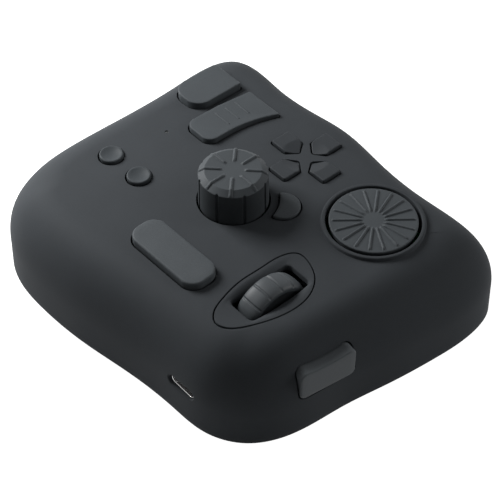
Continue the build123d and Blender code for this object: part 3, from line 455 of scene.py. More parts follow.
def collar_mesh(shell):
    """Ring that stands round the dial and runs out into the shell's own surface."""
    tree = surface_tree(shell)
    hole, rim = DIAL_HOLE_RADIUS, COLLAR_RADIUS
    radii = np.concatenate([
        [hole - 0.5], hole + COLLAR_LIP * (1 - np.cos(np.linspace(0, pi / 2, 6))),
        np.linspace(rim - COLLAR_ROUND, rim + 0.5, 16), np.linspace(rim + 0.6, rim + COLLAR_REACH, 7)])
    crest, tops, bottoms = BODY_TOP + COLLAR_PROUD, [], []
    for radius in radii:
        ring = circle(DIAL_PLACE, radius, COLLAR_AROUND)
        base = np.array([
            tree.ray_cast(Vector((x * MM, y * MM, PROBE * MM)), Vector((0, 0, -1)))[0].z / MM for x, y in ring])
        inner = min(COLLAR_LIP, max(0.0, hole + COLLAR_LIP - radius))
        outer = max(0.0, radius - (rim - COLLAR_ROUND))
        height = crest - COLLAR_LIP + sqrt(COLLAR_LIP**2 - inner**2)
        height -= COLLAR_ROUND - sqrt(COLLAR_ROUND**2 - min(outer, COLLAR_ROUND) ** 2)
        height -= max(0.0, outer - COLLAR_ROUND) * COLLAR_FALL
        share = np.clip(0.5 + 0.5 * (height - base) / COLLAR_BLEND, 0, 1)
        ring_top = base + (height - base) * share + COLLAR_BLEND * share * (1 - share)
        tops.append(lift(ring, np.where(share > 0, ring_top, base - COLLAR_SUNK)))
        bottoms.append(lift(ring, base - COLLAR_ROOT))
    return skin("collar", tops + [bottoms[-1], bottoms[len(bottoms) // 2], bottoms[0]], loop=True)


def new_finish(name):
    """Empty material with a Principled shader; returns the material, its tree and the shader."""
    material = bpy.data.materials.new(name)
    material.use_nodes = True
    tree = material.node_tree
    tree.nodes.clear()
    shader = add_node(tree, "ShaderNodeBsdfPrincipled")
    add_node(tree, "ShaderNodeOutputMaterial", {"Surface": shader.outputs[0]})
    return material, tree, shader


def grain_finish(name, colour, grain, depth, roughness, spread=0.06, mottle=9.0, sheen=0.0, patch=0.05, gleam=0.25):
    """Plastic or rubber with a fine moulded or sprayed grain; grain, depth and mottle in mm."""
    material, tree, shader = new_finish(name)
    place = add_node(tree, "ShaderNodeTexCoord").outputs["Object"]
    fine = add_node(tree, "ShaderNodeTexNoise", {
        "Vector": place, "Scale": 1 / (grain * MM), "Detail": 2.0, "Roughness": 0.6})
    broad = add_node(tree, "ShaderNodeTexNoise", {
        "Vector": place, "Scale": 1 / (mottle * MM), "Detail": 3.0, "Roughness": 0.55})
    r, g, b, _ = linear(colour)
    tint = add_node(tree, "ShaderNodeValToRGB", {"Fac": broad.outputs["Fac"]})
    tint.color_ramp.elements[0].position = 0.3
    tint.color_ramp.elements[0].color = [v * (1 - patch) for v in (r, g, b)] + [1]
    tint.color_ramp.elements[1].position = 0.7
    tint.color_ramp.elements[1].color = [v * (1 + patch) for v in (r, g, b)] + [1]
    speck = add_node(tree, "ShaderNodeMapRange", {
        "Value": fine.outputs["Fac"], "From Min": 0.3, "From Max": 0.7, "To Min": 1 - spread, "To Max": 1 + spread})
    colour_mix = add_node(tree, "ShaderNodeVectorMath", {
        0: tint.outputs["Color"], 1: speck.outputs[0]}, operation="MULTIPLY")
    gloss = add_node(tree, "ShaderNodeMapRange", {
        "Value": broad.outputs["Fac"], "From Min": 0.3, "From Max": 0.7,
        "To Min": roughness - 0.03, "To Max": roughness + 0.03})
    bump = add_node(tree, "ShaderNodeBump", {
        "Height": fine.outputs["Fac"], "Strength": 1.0, "Distance": depth * MM})
    shader.inputs["IOR"].default_value = 1.49
    shader.inputs["Specular IOR Level"].default_value = gleam
    tree.links.new(colour_mix.outputs[0], shader.inputs["Base Color"])
    tree.links.new(gloss.outputs[0], shader.inputs["Roughness"])
    tree.links.new(bump.outputs[0], shader.inputs["Normal"])
    if sheen:
        shader.inputs["Sheen Weight"].default_value = sheen
        shader.inputs["Sheen Roughness"].default_value = 0.5
    return material


# Soft-touch paint over ABS, sprayed: a matte, faintly velvety skin with hardly any grain.
SHELL_COLOUR = "#3a3d40"
soft_touch = grain_finish(
    "soft-touch paint on ABS", SHELL_COLOUR, grain=0.35, depth=0.012, roughness=0.72, spread=0.03, gleam=0.08)

KEY_GAP = 0.3
EDGE_ROUND = 0.5
MOUTH = 0.08                # rounded edge of the openings
WIDE_MOUTH = 0.1            # the same round the knob and the bezel
TOP_KEY_PLACE = (-3.9, 25.6)
TOP_KEY_TURN = 1.2
ROUND_KEY_RADIUS = 3.55
top_key_outline = turned(oblong((-13.4, -5.25), (13.4, 5.25), 4.2), TOP_KEY_PLACE, TOP_KEY_TURN)
round_right_outline = circle((36.9, 14.7), ROUND_KEY_RADIUS, 72)
round_left_outline = circle((25.3, 14.1), ROUND_KEY_RADIUS, 72)
tall_key_outline = rounded([(34.7, -31.1, 0.5), (46.6, -31.1, 1.5), (46.6, -14.3, 5.0), (34.7, -14.3, 5.0)])


def short_outline():
    """Rounded far end; the near left corner sweeps out in a hollow arc through three places."""
    start, via, end = Vector((21.9, -15.5)), Vector((20.87, -23.82)), Vector((18.1, -31.5))
    a, b = via - start, end - start
    d = 2 * (a.x * b.y - a.y * b.x)
    ux = (b.y * a.length_squared - a.y * b.length_squared) / d
    uy = (a.x * b.length_squared - b.x * a.length_squared) / d
    centre = start + Vector((ux, uy))
    first, last = start - centre, end - centre
    turn = atan2(first.x * last.y - first.y * last.x, first.dot(last))
    arc = []
    for k in range(1, 12):
        c, s = cos(turn * k / 12), sin(turn * k / 12)
        arc.append((centre.x + first.x * c - first.y * s, centre.y + first.x * s + first.y * c, 0))
    return rounded([
        (*end, 0.5), (31.5, end.y, 0.5), (32.7, -20.0, 0), (32.7, -8.0, 3.2), (21.9, -8.0, 3.2), (*start, 0)] + arc)


def crescent_outline():
    """Half-moon with its hollow side round the knob and small round horns."""
    place, radius, bite, horn = (-9.05, -7.9), 5.0, 12.4, 0.5
    away = Vector((place[0] - KNOB_PLACE[0], place[1] - KNOB_PLACE[1]))
    facing, distance = atan2(away.y, away.x), away.length
    # a horn's centre lies a horn's radius inside both arcs
    out_reach, in_reach = radius - horn, bite + horn
    along = (out_reach**2 - in_reach**2 + distance**2) / (2 * distance)
    side = sqrt(out_reach**2 - along**2)
    points = []
    horn_angle = atan2(side, -along)
    for a in np.linspace(-horn_angle, horn_angle, 40):
        points.append((radius * cos(a), radius * sin(a)))
    bite_angle = atan2(side, distance - along)
    for a in np.linspace(horn_angle, bite_angle + pi, 9)[1:-1]:
        points.append((-along + horn * cos(a), side + horn * sin(a)))
    for a in np.linspace(bite_angle, -bite_angle, 20):
        points.append((-distance + bite * cos(a), bite * sin(a)))
    for a in np.linspace(pi - bite_angle, 2 * pi - horn_angle, 9)[1:-1]:
        points.append((-along + horn * cos(a), -side + horn * sin(a)))
    return turned(points, place, degrees(facing))


PAD_CENTRE = (1.0, -25.4)


def pad_outline(turn):
    """Direction key: a pentagon that points at the pad's centre."""
    points = rounded([(2.4, 0, 0.9), (5.0, -3.3, 0.7), (10.8, -3.3, 0.7), (10.8, 3.3, 0.7), (5.0, 3.3, 0.7)], 0.4)
    return turned(points, PAD_CENTRE, turn)


short_key_outline = short_outline()
crescent_key_outline = crescent_outline()
PAD_TURNS = {"pad_right": 0, "pad_up": 90, "pad_left": 180, "pad_down": 270}
KEY_OUTLINES = {
    "top": top_key_outline, "round_right": round_right_outline, "round_left": round_left_outline,
    "tall": tall_key_outline, "short": short_key_outline, "crescent": crescent_key_outline,
    **{name: pad_outline(turn) for name, turn in PAD_TURNS.items()},
}
WHEEL_PLACE = (-29.5, 14.7)
SLOT_ENDS = ((-33.85, 4.6), (-25.15, 24.8))
SLOT_CORNER = 1.6
SLOT = oblong(*SLOT_ENDS, SLOT_CORNER)
BEZEL_POINTS = [
    (-28.6, 31.9), (-31.3, 31.0), (-34.1, 27.2), (-36.4, 21.6), (-37.8, 14.5), (-37.0, 8.2), (-33.4, 2.9),
    (-28.8, 0.6), (-24.3, 0.6), (-22.3, 4.0), (-21.9, 11.0), (-21.9, 18.1), (-23.6, 26.0), (-25.8, 30.4),
]
LEAF = closed_curve(BEZEL_POINTS, spacing(BEZEL_POINTS), 240)
BEZEL_GAP = 0.24
BEZEL_THICKNESS = 1.6
KNOB_HOLE = circle(KNOB_PLACE, 10.05, 144)
LED_HOLE = circle((34.5, -3.0), 0.55, 32)
POSTS = [(-40.5, 32.0), (45.5, 36.0), (47.0, -36.0), (-46.0, -35.0)]    # for the cover's screws
POST_RADIUS = 3.0
POST_ROOT = 0.8             # how far under the outer surface a post ends
HANGERS = [(-13.5, 13.5), (18.0, 27.0), (14.5, -13.0), (-13.5, -31.5), (42.0, 5.0)]     # for the key board
HANGER_RADIUS = 2.4
CRADLE_PIN = {"aside": 12.3, "radius": 0.9, "foot": 18.85}
CUT_DEPTH = 2               # how far below the roof the openings are cut
DIAL_HOLE_DEPTH = 12        # and the dial's, below the top
COVER_TOP = 3.6
KEY_BOARD_TOP = 16.8
SIDE_KEY_TURN = 8.0
SIDE_KEY_Y, SIDE_KEY_Z = 15.1, 18.0
SIDE_DEPTH = 6.5            # how far in from the wall the side key's opening is cut
USB_DEPTH = 4.4
USB_MOUTH = 0.35


def side_wall_x():
    """Where the wall's stations meet the side key's axis."""
    rise = (SIDE_KEY_Z - SHOULDER_HEIGHT) / (BODY_TOP - SHOULDER_HEIGHT)
    turn = np.arcsin(rise ** (ROLL_POWER / 2))
    reach = 1 - cos(turn) ** (2 / ROLL_POWER)
    base = WALL_DRAFT * SHOULDER_HEIGHT
    row = moved_stations([base + crown * reach for _, _, crown in STATIONS])
    met = []
    for (x0, y0), (x1, y1) in zip(row, row[1:] + row[:1]):
        if min(y0, y1) <= SIDE_KEY_Y < max(y0, y1):
            met.append(x0 + (x1 - x0) * (SIDE_KEY_Y - y0) / (y1 - y0))
    return min(met)


lean = radians(SIDE_KEY_TURN)
SIDE_AXES = (
    Vector((side_wall_x(), SIDE_KEY_Y, SIDE_KEY_Z)), Vector((sin(lean), cos(lean), 0)), Vector((0, 0, 1)),
    Vector((-cos(lean), sin(lean), 0)))
USB_AXES = (Vector((-27.4, 0, 11.8)), Vector((1, 0, 0)), Vector((0, 0, 1)), Vector((0, 1, 0)))
USB_SLOT = oblong((-4.7, -1.75), (4.7, 1.75), 1.7)


def side_outline():
    """Side key seen from the left: flat foot and a hollow upper edge."""
    half, high, dip = 8.6, 5.1, 0.8
    radius = (half**2 + dip**2) / (2 * dip)
    hollow = [(half * (1 - k / 8), high - dip + radius - sqrt(radius**2 - (half * (1 - k / 8)) ** 2), 0)
              for k in range(3, 14)]
    return rounded([(-half, -high, 2.0), (half, -high, 2.0), (half, high, 2.0), *hollow, (-half, high, 2.0)])


def upright(place, radius, low, high, count=32):
    """Closed rod."""
    return skin("rod", [lift(circle(place, radius, count), low), lift(circle(place, radius, count), high)])


def housing_mesh():
    """The shell with its collar, posts and pins, cut by all its openings."""
    shell = shell_mesh()
    tree = surface_tree(shell)
    added = [collar_mesh(shell)]
    for place in POSTS:
        roof = surface_out(tree, UPWARD, circle(place, POST_RADIUS, 8)).min()
        added.append(upright(place, POST_RADIUS, COVER_TOP, roof - POST_ROOT))
    added += [upright(place, HANGER_RADIUS, KEY_BOARD_TOP, ROOF_UNDER + 1) for place in HANGERS]
    for side in (-1, 1):
        place = (WHEEL_PLACE[0], WHEEL_PLACE[1] + side * CRADLE_PIN["aside"])
        added.append(upright(place, CRADLE_PIN["radius"], CRADLE_PIN["foot"], ROOF_UNDER + 0.3))
    low = ROOF_UNDER - CUT_DEPTH
    cuts = [bored(tree, grown(outline, KEY_GAP), low, MOUTH) for outline in KEY_OUTLINES.values()]
    cuts += [bored(tree, KNOB_HOLE, low, WIDE_MOUTH), bored(tree, LED_HOLE, low, MOUTH)]
    cuts += [bored(tree, grown(LEAF, BEZEL_GAP), BODY_TOP - BEZEL_THICKNESS, WIDE_MOUTH)]
    cuts += [skin("slot", [lift(SLOT, low), lift(SLOT, BODY_TOP)])]
    cuts += [upright(DIAL_PLACE, DIAL_HOLE_RADIUS, BODY_TOP - DIAL_HOLE_DEPTH, BODY_TOP + OVERRUN, 180)]
    cuts += [bored(tree, grown(side_outline(), KEY_GAP), -SIDE_DEPTH, MOUTH, SIDE_AXES)]
    cuts += [bored(tree, USB_SLOT, USB_WALL_Y - USB_DEPTH, USB_MOUTH, USB_AXES)]
    return combine(combine(shell, added, "UNION"), cuts, "DIFFERENCE")


USB_SETBACK = 0.9           # how far inside the wall's surface the socket's shell ends
USB_WALL_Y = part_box("usb_shell")[1].y / MM + USB_SETBACK
housing = new_piece("housing_shell", housing_mesh(), soft_touch, "base", ["housing"])
weigh = housing.modifiers.new("even shading", "WEIGHTED_NORMAL")
weigh.keep_sharp = True
weigh.weight = 60


# ------------------------------------------------------------------ keys on the top
# Ten caps moulded in textured ABS, most of them a shade paler than the housing; their tones are
# set one by one. Each has a flange that keeps it in its opening and a stem that stands on its
# switch's plunger.
FLANGE_TOP = 27.1
FLANGE = 1.2
FLANGE_REACH = 0.7
SEAM_EASE = 0.15            # the caps are drawn this much smaller all round, so that their seams show
NECK = (0.3, 0.5, 0.2)      # waist under each cap: how far in, and its two depths below the surface
STEM_RADIUS = 1.7
PLUNGER_TOP = 21.2
BAR_PROUD = 2.1             # how far the wide top key and the tall key stand out of the top
SHORT_PROUD = 1.6
ROUND_PROUD = 0.9           # the round keys and the crescent key
PAD_PROUD = 0.85            # the direction keys
TALL_SINK = 1.5             # its flange hangs this much lower, clear of the roll-over
THIN_EDGE = 0.34            # rounded edge of the tall, short and crescent keys


# Texture of a spark-eroded mould in ABS: an even matte grain with a weak gleam at low angles.
def cap_finish(whose, colour, grain=0.3, depth=0.018, spread=0.05):
    """Finish of one kind of cap."""
    return grain_finish(
        f"spark-textured ABS{whose}", colour, grain=grain, depth=depth, roughness=0.5, spread=spread, gleam=0.1)


key_finish = cap_finish("", "#44484b")


def key_rings(outline, proud, sink=0.0, edge=EDGE_ROUND, top=None, rows=8, middle=None):
    """Rings of a key from its stem's foot up to the middle of its top.

    top(x, y, share) gives the height of the top above the flat; share is 1 at the edge, 0 in the middle.
    """
    outline = grown(outline, -SEAM_EASE)
    centre = (outline.min(0) + outline.max(0)) / 2
    around = outline - centre
    stem = centre + around / np.linalg.norm(around, axis=1)[:, None] * STEM_RADIUS
    high = FLANGE_TOP - sink
    low = high - FLANGE
    wide = grown(outline, FLANGE_REACH)
    waist = grown(outline, -NECK[0])
    rings = [lift(stem, PLUNGER_TOP), lift(stem, low), lift(wide, low), lift(wide, high), lift(waist, high)]
    rings += [lift(waist, BODY_TOP - sink - NECK[1]), lift(outline, BODY_TOP - sink - NECK[2])]
    top = top or (lambda x, y, share: np.full(len(x), proud))
    rim = grown(outline, -edge)
    level = BODY_TOP + top(rim[:, 0], rim[:, 1], 1.0)
    for a in np.linspace(0, pi / 2, 6):
        ring = grown(outline, -edge * (1 - cos(a)))
        rings.append(lift(ring, level - edge * (1 - sin(a))))
    middle = rim.mean(0) if middle is None else np.asarray(middle)
    for share in np.linspace(1, 0, rows + 1)[1:-1]:
        ring = middle + (rim - middle) * share
        rings.append(lift(ring, BODY_TOP + top(ring[:, 0], ring[:, 1], share)))
    end = middle[None, :].repeat(len(rim), 0)
    rings.append(lift(end, BODY_TOP + top(end[:, 0], end[:, 1], 0.0)))
    return rings


def add_key(name, rings, finish=key_finish):
    return new_piece(f"{name}_cap", skin(name, rings), finish, f"{name}_button", [f"{name}_key"])


# wide bar with a full soft edge; its grain is finer and stronger than most of the other caps'
bar_finish = grain_finish(
    "fine-eroded ABS", "#494d50", grain=0.22, depth=0.03, roughness=0.52, spread=0.1, gleam=0.1)
add_key("top", key_rings(top_key_outline, BAR_PROUD, edge=0.55), bar_finish)

# round keys, dished for a fingertip
ROUND_DISH = 0.55
round_finish = cap_finish(", round keys", "#3c4043", grain=0.26)
for name in ("round_right", "round_left"):
    add_key(name, key_rings(
        KEY_OUTLINES[name], ROUND_PROUD, edge=0.45,
        top=lambda x, y, share: np.full(len(x), ROUND_PROUD - ROUND_DISH * (1 - share**2))), round_finish)

# tall key: flat top, square near end, round far end
add_key("tall", key_rings(tall_key_outline, BAR_PROUD, sink=TALL_SINK, edge=THIN_EDGE))

# short key: its top drops a little towards the near end and is faintly hollow
SHORT_FALL = 1.4            # degrees
SHORT_FAR_END = -8.0
SHORT_HOLLOW = 0.1
SHORT_MIDDLE = (26.8, -20.5)
add_key("short", key_rings(
    short_key_outline, SHORT_PROUD, edge=THIN_EDGE, middle=SHORT_MIDDLE,
    top=lambda x, y, share: (
        SHORT_PROUD - tan(radians(SHORT_FALL)) * (SHORT_FAR_END - y) - SHORT_HOLLOW * (1 - share**2))))

# crescent key, gently domed, in the wide bar's paler finish: painted light that lifts the shadow the knob casts on it
CRESCENT_EDGE_PROUD = 0.72
CRESCENT_DOME = 0.18
add_key("crescent", key_rings(
    crescent_key_outline, ROUND_PROUD, edge=THIN_EDGE,
    top=lambda x, y, share: np.full(len(x), CRESCENT_EDGE_PROUD + CRESCENT_DOME * (1 - share**2))), bar_finish)

# direction keys, each sloping down to the middle of the pad
PAD_CREASE = 6.9            # distance from the pad's centre to the crease
PAD_SLOPE = 0.3
PAD_CREASE_ROUND = 0.05


def pad_top():
    """Top of a direction key: level outside a round crease, then it falls towards the pad's centre."""
    def top(x, y, share):
        below = (PAD_CREASE - np.hypot(x - PAD_CENTRE[0], y - PAD_CENTRE[1])) * PAD_SLOPE
        return PAD_PROUD - 0.5 * (below + np.sqrt(below**2 + PAD_CREASE_ROUND**2))
    return top


pad_finish = cap_finish(", direction keys", "#36393c", grain=0.26)
for name in PAD_TURNS:
    add_key(name, key_rings(KEY_OUTLINES[name], PAD_PROUD, edge=0.3, rows=16, top=pad_top()), pad_finish)


# three moulded grip ribs across the short key, standing up from its top
RIB_COUNT = 3
RIB_PITCH = 3.7
RIB_FIRST = (27.4, -24.9)
RIB_SIZE = (6.4, 0.6, 0.16)     # length, width and height of a rib
RIB_SUNK = 0.5
RIB_FOOT = 1.09                 # how far above the body's top the first one stands
RIB_RISE = 0.09                 # and how much higher each next one


def bar_mesh(length, width, height, sunk):
    """Low bar with a round back and round ends, along X, standing on z = 0."""
    outline = oblong((-length / 2, -width / 2), (length / 2, width / 2), width * 0.48, 0.4)
    rings = [lift(outline, -sunk)]
    for a in np.linspace(0, pi / 2, 6)[:-1]:
        rings.append(lift(grown(outline, -width * 0.46 * (1 - cos(a))), height * sin(a)))
    return skin("bar", rings)


def group_of(name, inputs):
    """New geometry node group with named inputs; returns it with the sockets of its input node."""
    group = bpy.data.node_groups.new(name, "GeometryNodeTree")
    for title, kind in inputs:
        group.interface.new_socket(title, in_out="INPUT", socket_type=kind)
    group.interface.new_socket("Result", in_out="OUTPUT", socket_type="NodeSocketGeometry")
    return group, add_node(group, "NodeGroupInput").outputs


def grown_by(group, mesh, values):
    """Plain mesh that a node group makes from a mesh and the values of its inputs."""
    holder = bpy.data.objects.new("source", mesh)
    bpy.context.collection.objects.link(holder)
    change = holder.modifiers.new("nodes", "NODES")
    change.node_group = group
    for item in group.interface.items_tree:
        if item.in_out == "INPUT" and item.name in values:
            change[item.identifier] = values[item.name]
    result = bpy.data.meshes.new_from_object(holder.evaluated_get(bpy.context.evaluated_depsgraph_get()))
    bpy.data.objects.remove(holder)
    return result


row_group, given = group_of("row of ribs", [
    ("Rib", "NodeSocketGeometry"), ("Count", "NodeSocketInt"), ("First", "NodeSocketVector"),
    ("Step", "NodeSocketVector"), ("Finish", "NodeSocketMaterial")])
line = add_node(row_group, "GeometryNodeMeshLine", {
    "Count": given["Count"], "Start Location": given["First"], "Offset": given["Step"]})
ribs = add_node(row_group, "GeometryNodeInstanceOnPoints", {"Points": line.outputs[0], "Instance": given["Rib"]})
solid = add_node(row_group, "GeometryNodeRealizeInstances", {"Geometry": ribs.outputs[0]})
dressed = add_node(row_group, "GeometryNodeSetMaterial", {"Geometry": solid.outputs[0], "Material": given["Finish"]})
add_node(row_group, "NodeGroupOutput", {"Result": dressed.outputs[0]})
rib_row = grown_by(row_group, bar_mesh(*RIB_SIZE, RIB_SUNK), {
    "Count": RIB_COUNT, "First": Vector((*RIB_FIRST, BODY_TOP + RIB_FOOT)) * MM,
    "Step": Vector((0, RIB_PITCH, RIB_RISE)) * MM, "Finish": key_finish})
new_piece("short_ribs", rib_row, key_finish, "short_button")


# ------------------------------------------------------------------ side key
# A wide cap in the left wall for the thumb or finger, moulded like the other keys; its face
# stands plumb while the wall behind it leans away.
SIDE_PROUD = 1.4
SIDE_EDGE = 0.5
SIDE_FLANGE = (-6.0, -4.8)  # its back and its front, along the key's axis
SIDE_LEVEL_AT = 0.8         # how far outside the cap the wall's surface is measured


def side_key_mesh():
    """Cap, waist and flange of the side key; the waist follows the wall."""
    outline, proud, edge = grown(side_outline(), -SEAM_EASE), SIDE_PROUD, SIDE_EDGE
    wide, waist = grown(outline, FLANGE_REACH), grown(outline, -NECK[0])
    level = surface_out(surface_tree(housing.data), SIDE_AXES, grown(outline, SIDE_LEVEL_AT))
    back, front = SIDE_FLANGE
    rings = [ring_in(SIDE_AXES, wide, back), ring_in(SIDE_AXES, wide, front), ring_in(SIDE_AXES, waist, front)]
    rings += [ring_in(SIDE_AXES, waist, level - NECK[1]), ring_in(SIDE_AXES, outline, level - NECK[2])]
    for a in np.linspace(0, pi / 2, 7):
        ring = grown(outline, -edge * (1 - cos(a)))
        rings.append(ring_in(SIDE_AXES, ring, proud - edge * (1 - sin(a))))
    rim = grown(outline, -edge)
    middle = rim.mean(0)
    for share in (0.8, 0.6, 0.4, 0.2, 0.02):
        rings.append(ring_in(SIDE_AXES, middle + (rim - middle) * share, proud))
    return skin("side", rings)


# painted light: this cap's colour is paler than the other caps', standing in for the light that falls on its face
new_piece("side_cap", side_key_mesh(), cap_finish(", side key, paler for painted light", "#585c5f"), "side_button", ["side_key"])


# ------------------------------------------------------------------ knob
# Press-fit cap on the encoder's shaft, moulded ABS: eight round-backed ribs run over its
# chamfer, and a flute splits its side between each two.
def profile_sector(name, profile, turn, columns, shape):
    """One sector of a turned part, about Z. shape(radius, height, angle) moves its points."""
    angles = np.radians(np.linspace(-turn / 2, turn / 2, columns + 1))
    places, faces = [], []
    for radius, height in profile:
        for angle in angles:
            r, h = shape(radius, height, angle)
            places.append((r * cos(angle) * MM, r * sin(angle) * MM, h * MM))
    rows, wide = len(profile), columns + 1
    for i in range(rows):
        j = (i + 1) % rows
        if profile[i][0] < 1e-6 and profile[j][0] < 1e-6:
            continue
        for k in range(columns):
            faces.append((i * wide + k, i * wide + k + 1, j * wide + k + 1, j * wide + k))
    mesh = bpy.data.meshes.new(name)
    mesh.from_pydata(places, [], faces)
    return mesh


ring_group, given = group_of("sectors round an axis", [
    ("Sector", "NodeSocketGeometry"), ("Count", "NodeSocketInt"), ("First turn", "NodeSocketFloat"),
    ("Weld distance", "NodeSocketFloat"), ("Finish", "NodeSocketMaterial")])
points = add_node(ring_group, "GeometryNodeMeshLine", {"Count": given["Count"], "Offset": (0, 0, 0)})
step = add_node(ring_group, "ShaderNodeMath", {0: 2 * pi, 1: given["Count"]}, operation="DIVIDE")
number = add_node(ring_group, "GeometryNodeInputIndex")
angle = add_node(ring_group, "ShaderNodeMath", {
    0: number.outputs[0], 1: step.outputs[0], 2: given["First turn"]}, operation="MULTIPLY_ADD")
spin = add_node(ring_group, "ShaderNodeCombineXYZ", {"Z": angle.outputs[0]})
spin = add_node(ring_group, "FunctionNodeEulerToRotation", {0: spin.outputs[0]})
copies = add_node(ring_group, "GeometryNodeInstanceOnPoints", {
    "Points": points.outputs[0], "Instance": given["Sector"], "Rotation": spin.outputs[0]})
solid = add_node(ring_group, "GeometryNodeRealizeInstances", {"Geometry": copies.outputs[0]})
welded = add_node(ring_group, "GeometryNodeMergeByDistance", {
    "Geometry": solid.outputs[0], "Distance": given["Weld distance"]})
dressed = add_node(ring_group, "GeometryNodeSetMaterial", {
    "Geometry": welded.outputs[0], "Material": given["Finish"]})
add_node(ring_group, "NodeGroupOutput", {"Result": dressed.outputs[0]})


def whole_ring(sector, count, first, finish):
    """Plain mesh of count sectors round Z, the first one turned by first degrees."""
    return grown_by(ring_group, sector, {
        "Count": count, "First turn": radians(first), "Weld distance": WELD * MM, "Finish": finish})


def put_down(mesh, place):
    """The mesh moved from its own origin to its place."""
    mesh.transform(Matrix.Translation(Vector(place) * MM))
    return mesh


def hump(distance, half_width):
    """Round-backed section: 1 in the middle, 0 from half_width on."""
    return max(0.0, 1 - (distance / half_width) ** 2)


def ramp(value, low, high):
    """0 up to low, 1 from high on, and a straight rise between them."""
    return min(1.0, max(0.0, (value - low) / (high - low)))


KNOB_RIBS = 8
# radius and height of the points of its section
KNOB_BORE = (3.0, 32.0)
KNOB_FOOT = (9.25, 28.0)
KNOB_FOOT_TOP = 29.1
KNOB_SIDE = (9.6, 29.35)
KNOB_SHOULDER = (9.45, 39.1)
KNOB_TOP = (7.7, 40.4)
KNOB_RIB = {"half_width": 0.5, "height": 0.42, "inner": (3.1, 3.6), "outer": (9.15, 9.42)}
RIB_BACK = 0.6              # how round the back of a rib is; 1 is a plain parabola
FLUTE_RADIUS = 0.5
KNOB_PROFILE = rounded([
    (KNOB_BORE[0], KNOB_FOOT[1], 0), (*KNOB_FOOT, 0.2), (KNOB_FOOT[0], KNOB_FOOT_TOP, 0), (*KNOB_SIDE, 0),
    (*KNOB_SHOULDER, 0.25), (*KNOB_TOP, 0.3), (0, KNOB_TOP[1], 0), (0, KNOB_BORE[1], 0), (*KNOB_BORE, 0)], 0.3)


def rib_height(rib, radius, angle):
    """Height of a rib that runs outward along the middle of a sector and fades out at both ends."""
    back = hump(radius * sin(angle), rib["half_width"]) * ramp(radius, *rib["inner"])
    return rib["height"] * (back * (1 - ramp(radius, *rib["outer"]))) ** RIB_BACK


def knob_shape(radius, height, angle):
    """Ribs down the middle of the sector, half a flute along each side."""
    if height > KNOB_SHOULDER[1] - 0.3:
        height += rib_height(KNOB_RIB, radius, angle)
    off = pi / KNOB_RIBS - abs(angle)
    side = KNOB_SIDE[0] * sin(off)
    if side < FLUTE_RADIUS and radius > KNOB_BORE[0] + 1:
        radius = min(radius, KNOB_SIDE[0] * cos(off) - sqrt(FLUTE_RADIUS**2 - side**2))
    return radius, height


knob_finish = cap_finish(", knob", "#464a4d", grain=0.28, depth=0.014, spread=0.04)
# painted shade: its side is coloured darker than its top, standing in for the shade that falls on it
KNOB_SIDE_PAINTED_SHADE = 0.58
KNOB_PAINTED_SHADE_HEIGHTS = (39.0, 39.15)
tree = knob_finish.node_tree
shader = next(node for node in tree.nodes if node.type == "BSDF_PRINCIPLED")
height = add_node(tree, "ShaderNodeSeparateXYZ", {"Vector": add_node(tree, "ShaderNodeTexCoord").outputs["Object"]})
lower = add_node(tree, "ShaderNodeMapRange", {
    "Value": height.outputs["Z"], "From Min": KNOB_PAINTED_SHADE_HEIGHTS[0] * MM, "From Max": KNOB_PAINTED_SHADE_HEIGHTS[1] * MM,
    "To Min": KNOB_SIDE_PAINTED_SHADE, "To Max": 1.0})
knob_colour_with_painted_shade = add_node(tree, "ShaderNodeVectorMath", {
    0: shader.inputs["Base Color"].links[0].from_socket, 1: lower.outputs[0]}, operation="MULTIPLY")
tree.links.new(knob_colour_with_painted_shade.outputs[0], shader.inputs["Base Color"])
knob_sector = profile_sector("knob", KNOB_PROFILE, 360 / KNOB_RIBS, 60, knob_shape)
knob_mesh = whole_ring(knob_sector, KNOB_RIBS, 0.0, knob_finish)
new_piece("knob_dressed", put_down(knob_mesh, (*KNOB_PLACE, 0)), knob_finish, "knob", ["knob_cap"])


# ------------------------------------------------------------------ dial
# Flat moulded disc, press-fit like the knob, that turns inside the collar; eighteen fine ribs
# give the fingertip its grip.
DIAL_RIBS = 18
# radius and height of the points of its section
DIAL_BORE = (3.0, 29.4)
DIAL_HUB = (5.0, 26.25)
DIAL_FOOT = (11.6, 28.2)
DIAL_FOOT_TOP = 29.8
DIAL_SIDE = (11.95, 30.0)
DIAL_TOP = 30.6
DIAL_RIB = {"half_width": 0.38, "height": 0.4, "inner": (3.1, 3.5), "outer": (10.9, 11.2)}
DIAL_PROFILE = rounded([
    (DIAL_BORE[0], DIAL_HUB[1], 0), (*DIAL_HUB, 0.2), (DIAL_HUB[0], DIAL_FOOT[1], 0), (*DIAL_FOOT, 0.3),
    (DIAL_FOOT[0], DIAL_FOOT_TOP, 0), (*DIAL_SIDE, 0), (DIAL_SIDE[0], DIAL_TOP, 0.3), (0, DIAL_TOP, 0),
    (0, DIAL_BORE[1], 0), (*DIAL_BORE, 0)], 0.42)


def dial_shape(radius, height, angle):
    """A rib down the middle of the sector."""
    if height > DIAL_TOP - 0.01:
        height += rib_height(DIAL_RIB, radius, angle)
    return radius, height


dial_finish = cap_finish(", dial", "#464a4d", grain=0.26, depth=0.014)
dial_sector = profile_sector("dial", DIAL_PROFILE, 360 / DIAL_RIBS, 36, dial_shape)
dial_mesh = whole_ring(dial_sector, DIAL_RIBS, 180 / DIAL_RIBS, dial_finish)
new_piece("dial_dressed", put_down(dial_mesh, (*DIAL_PLACE, 0)), dial_finish, "dial", ["dial_disc"])


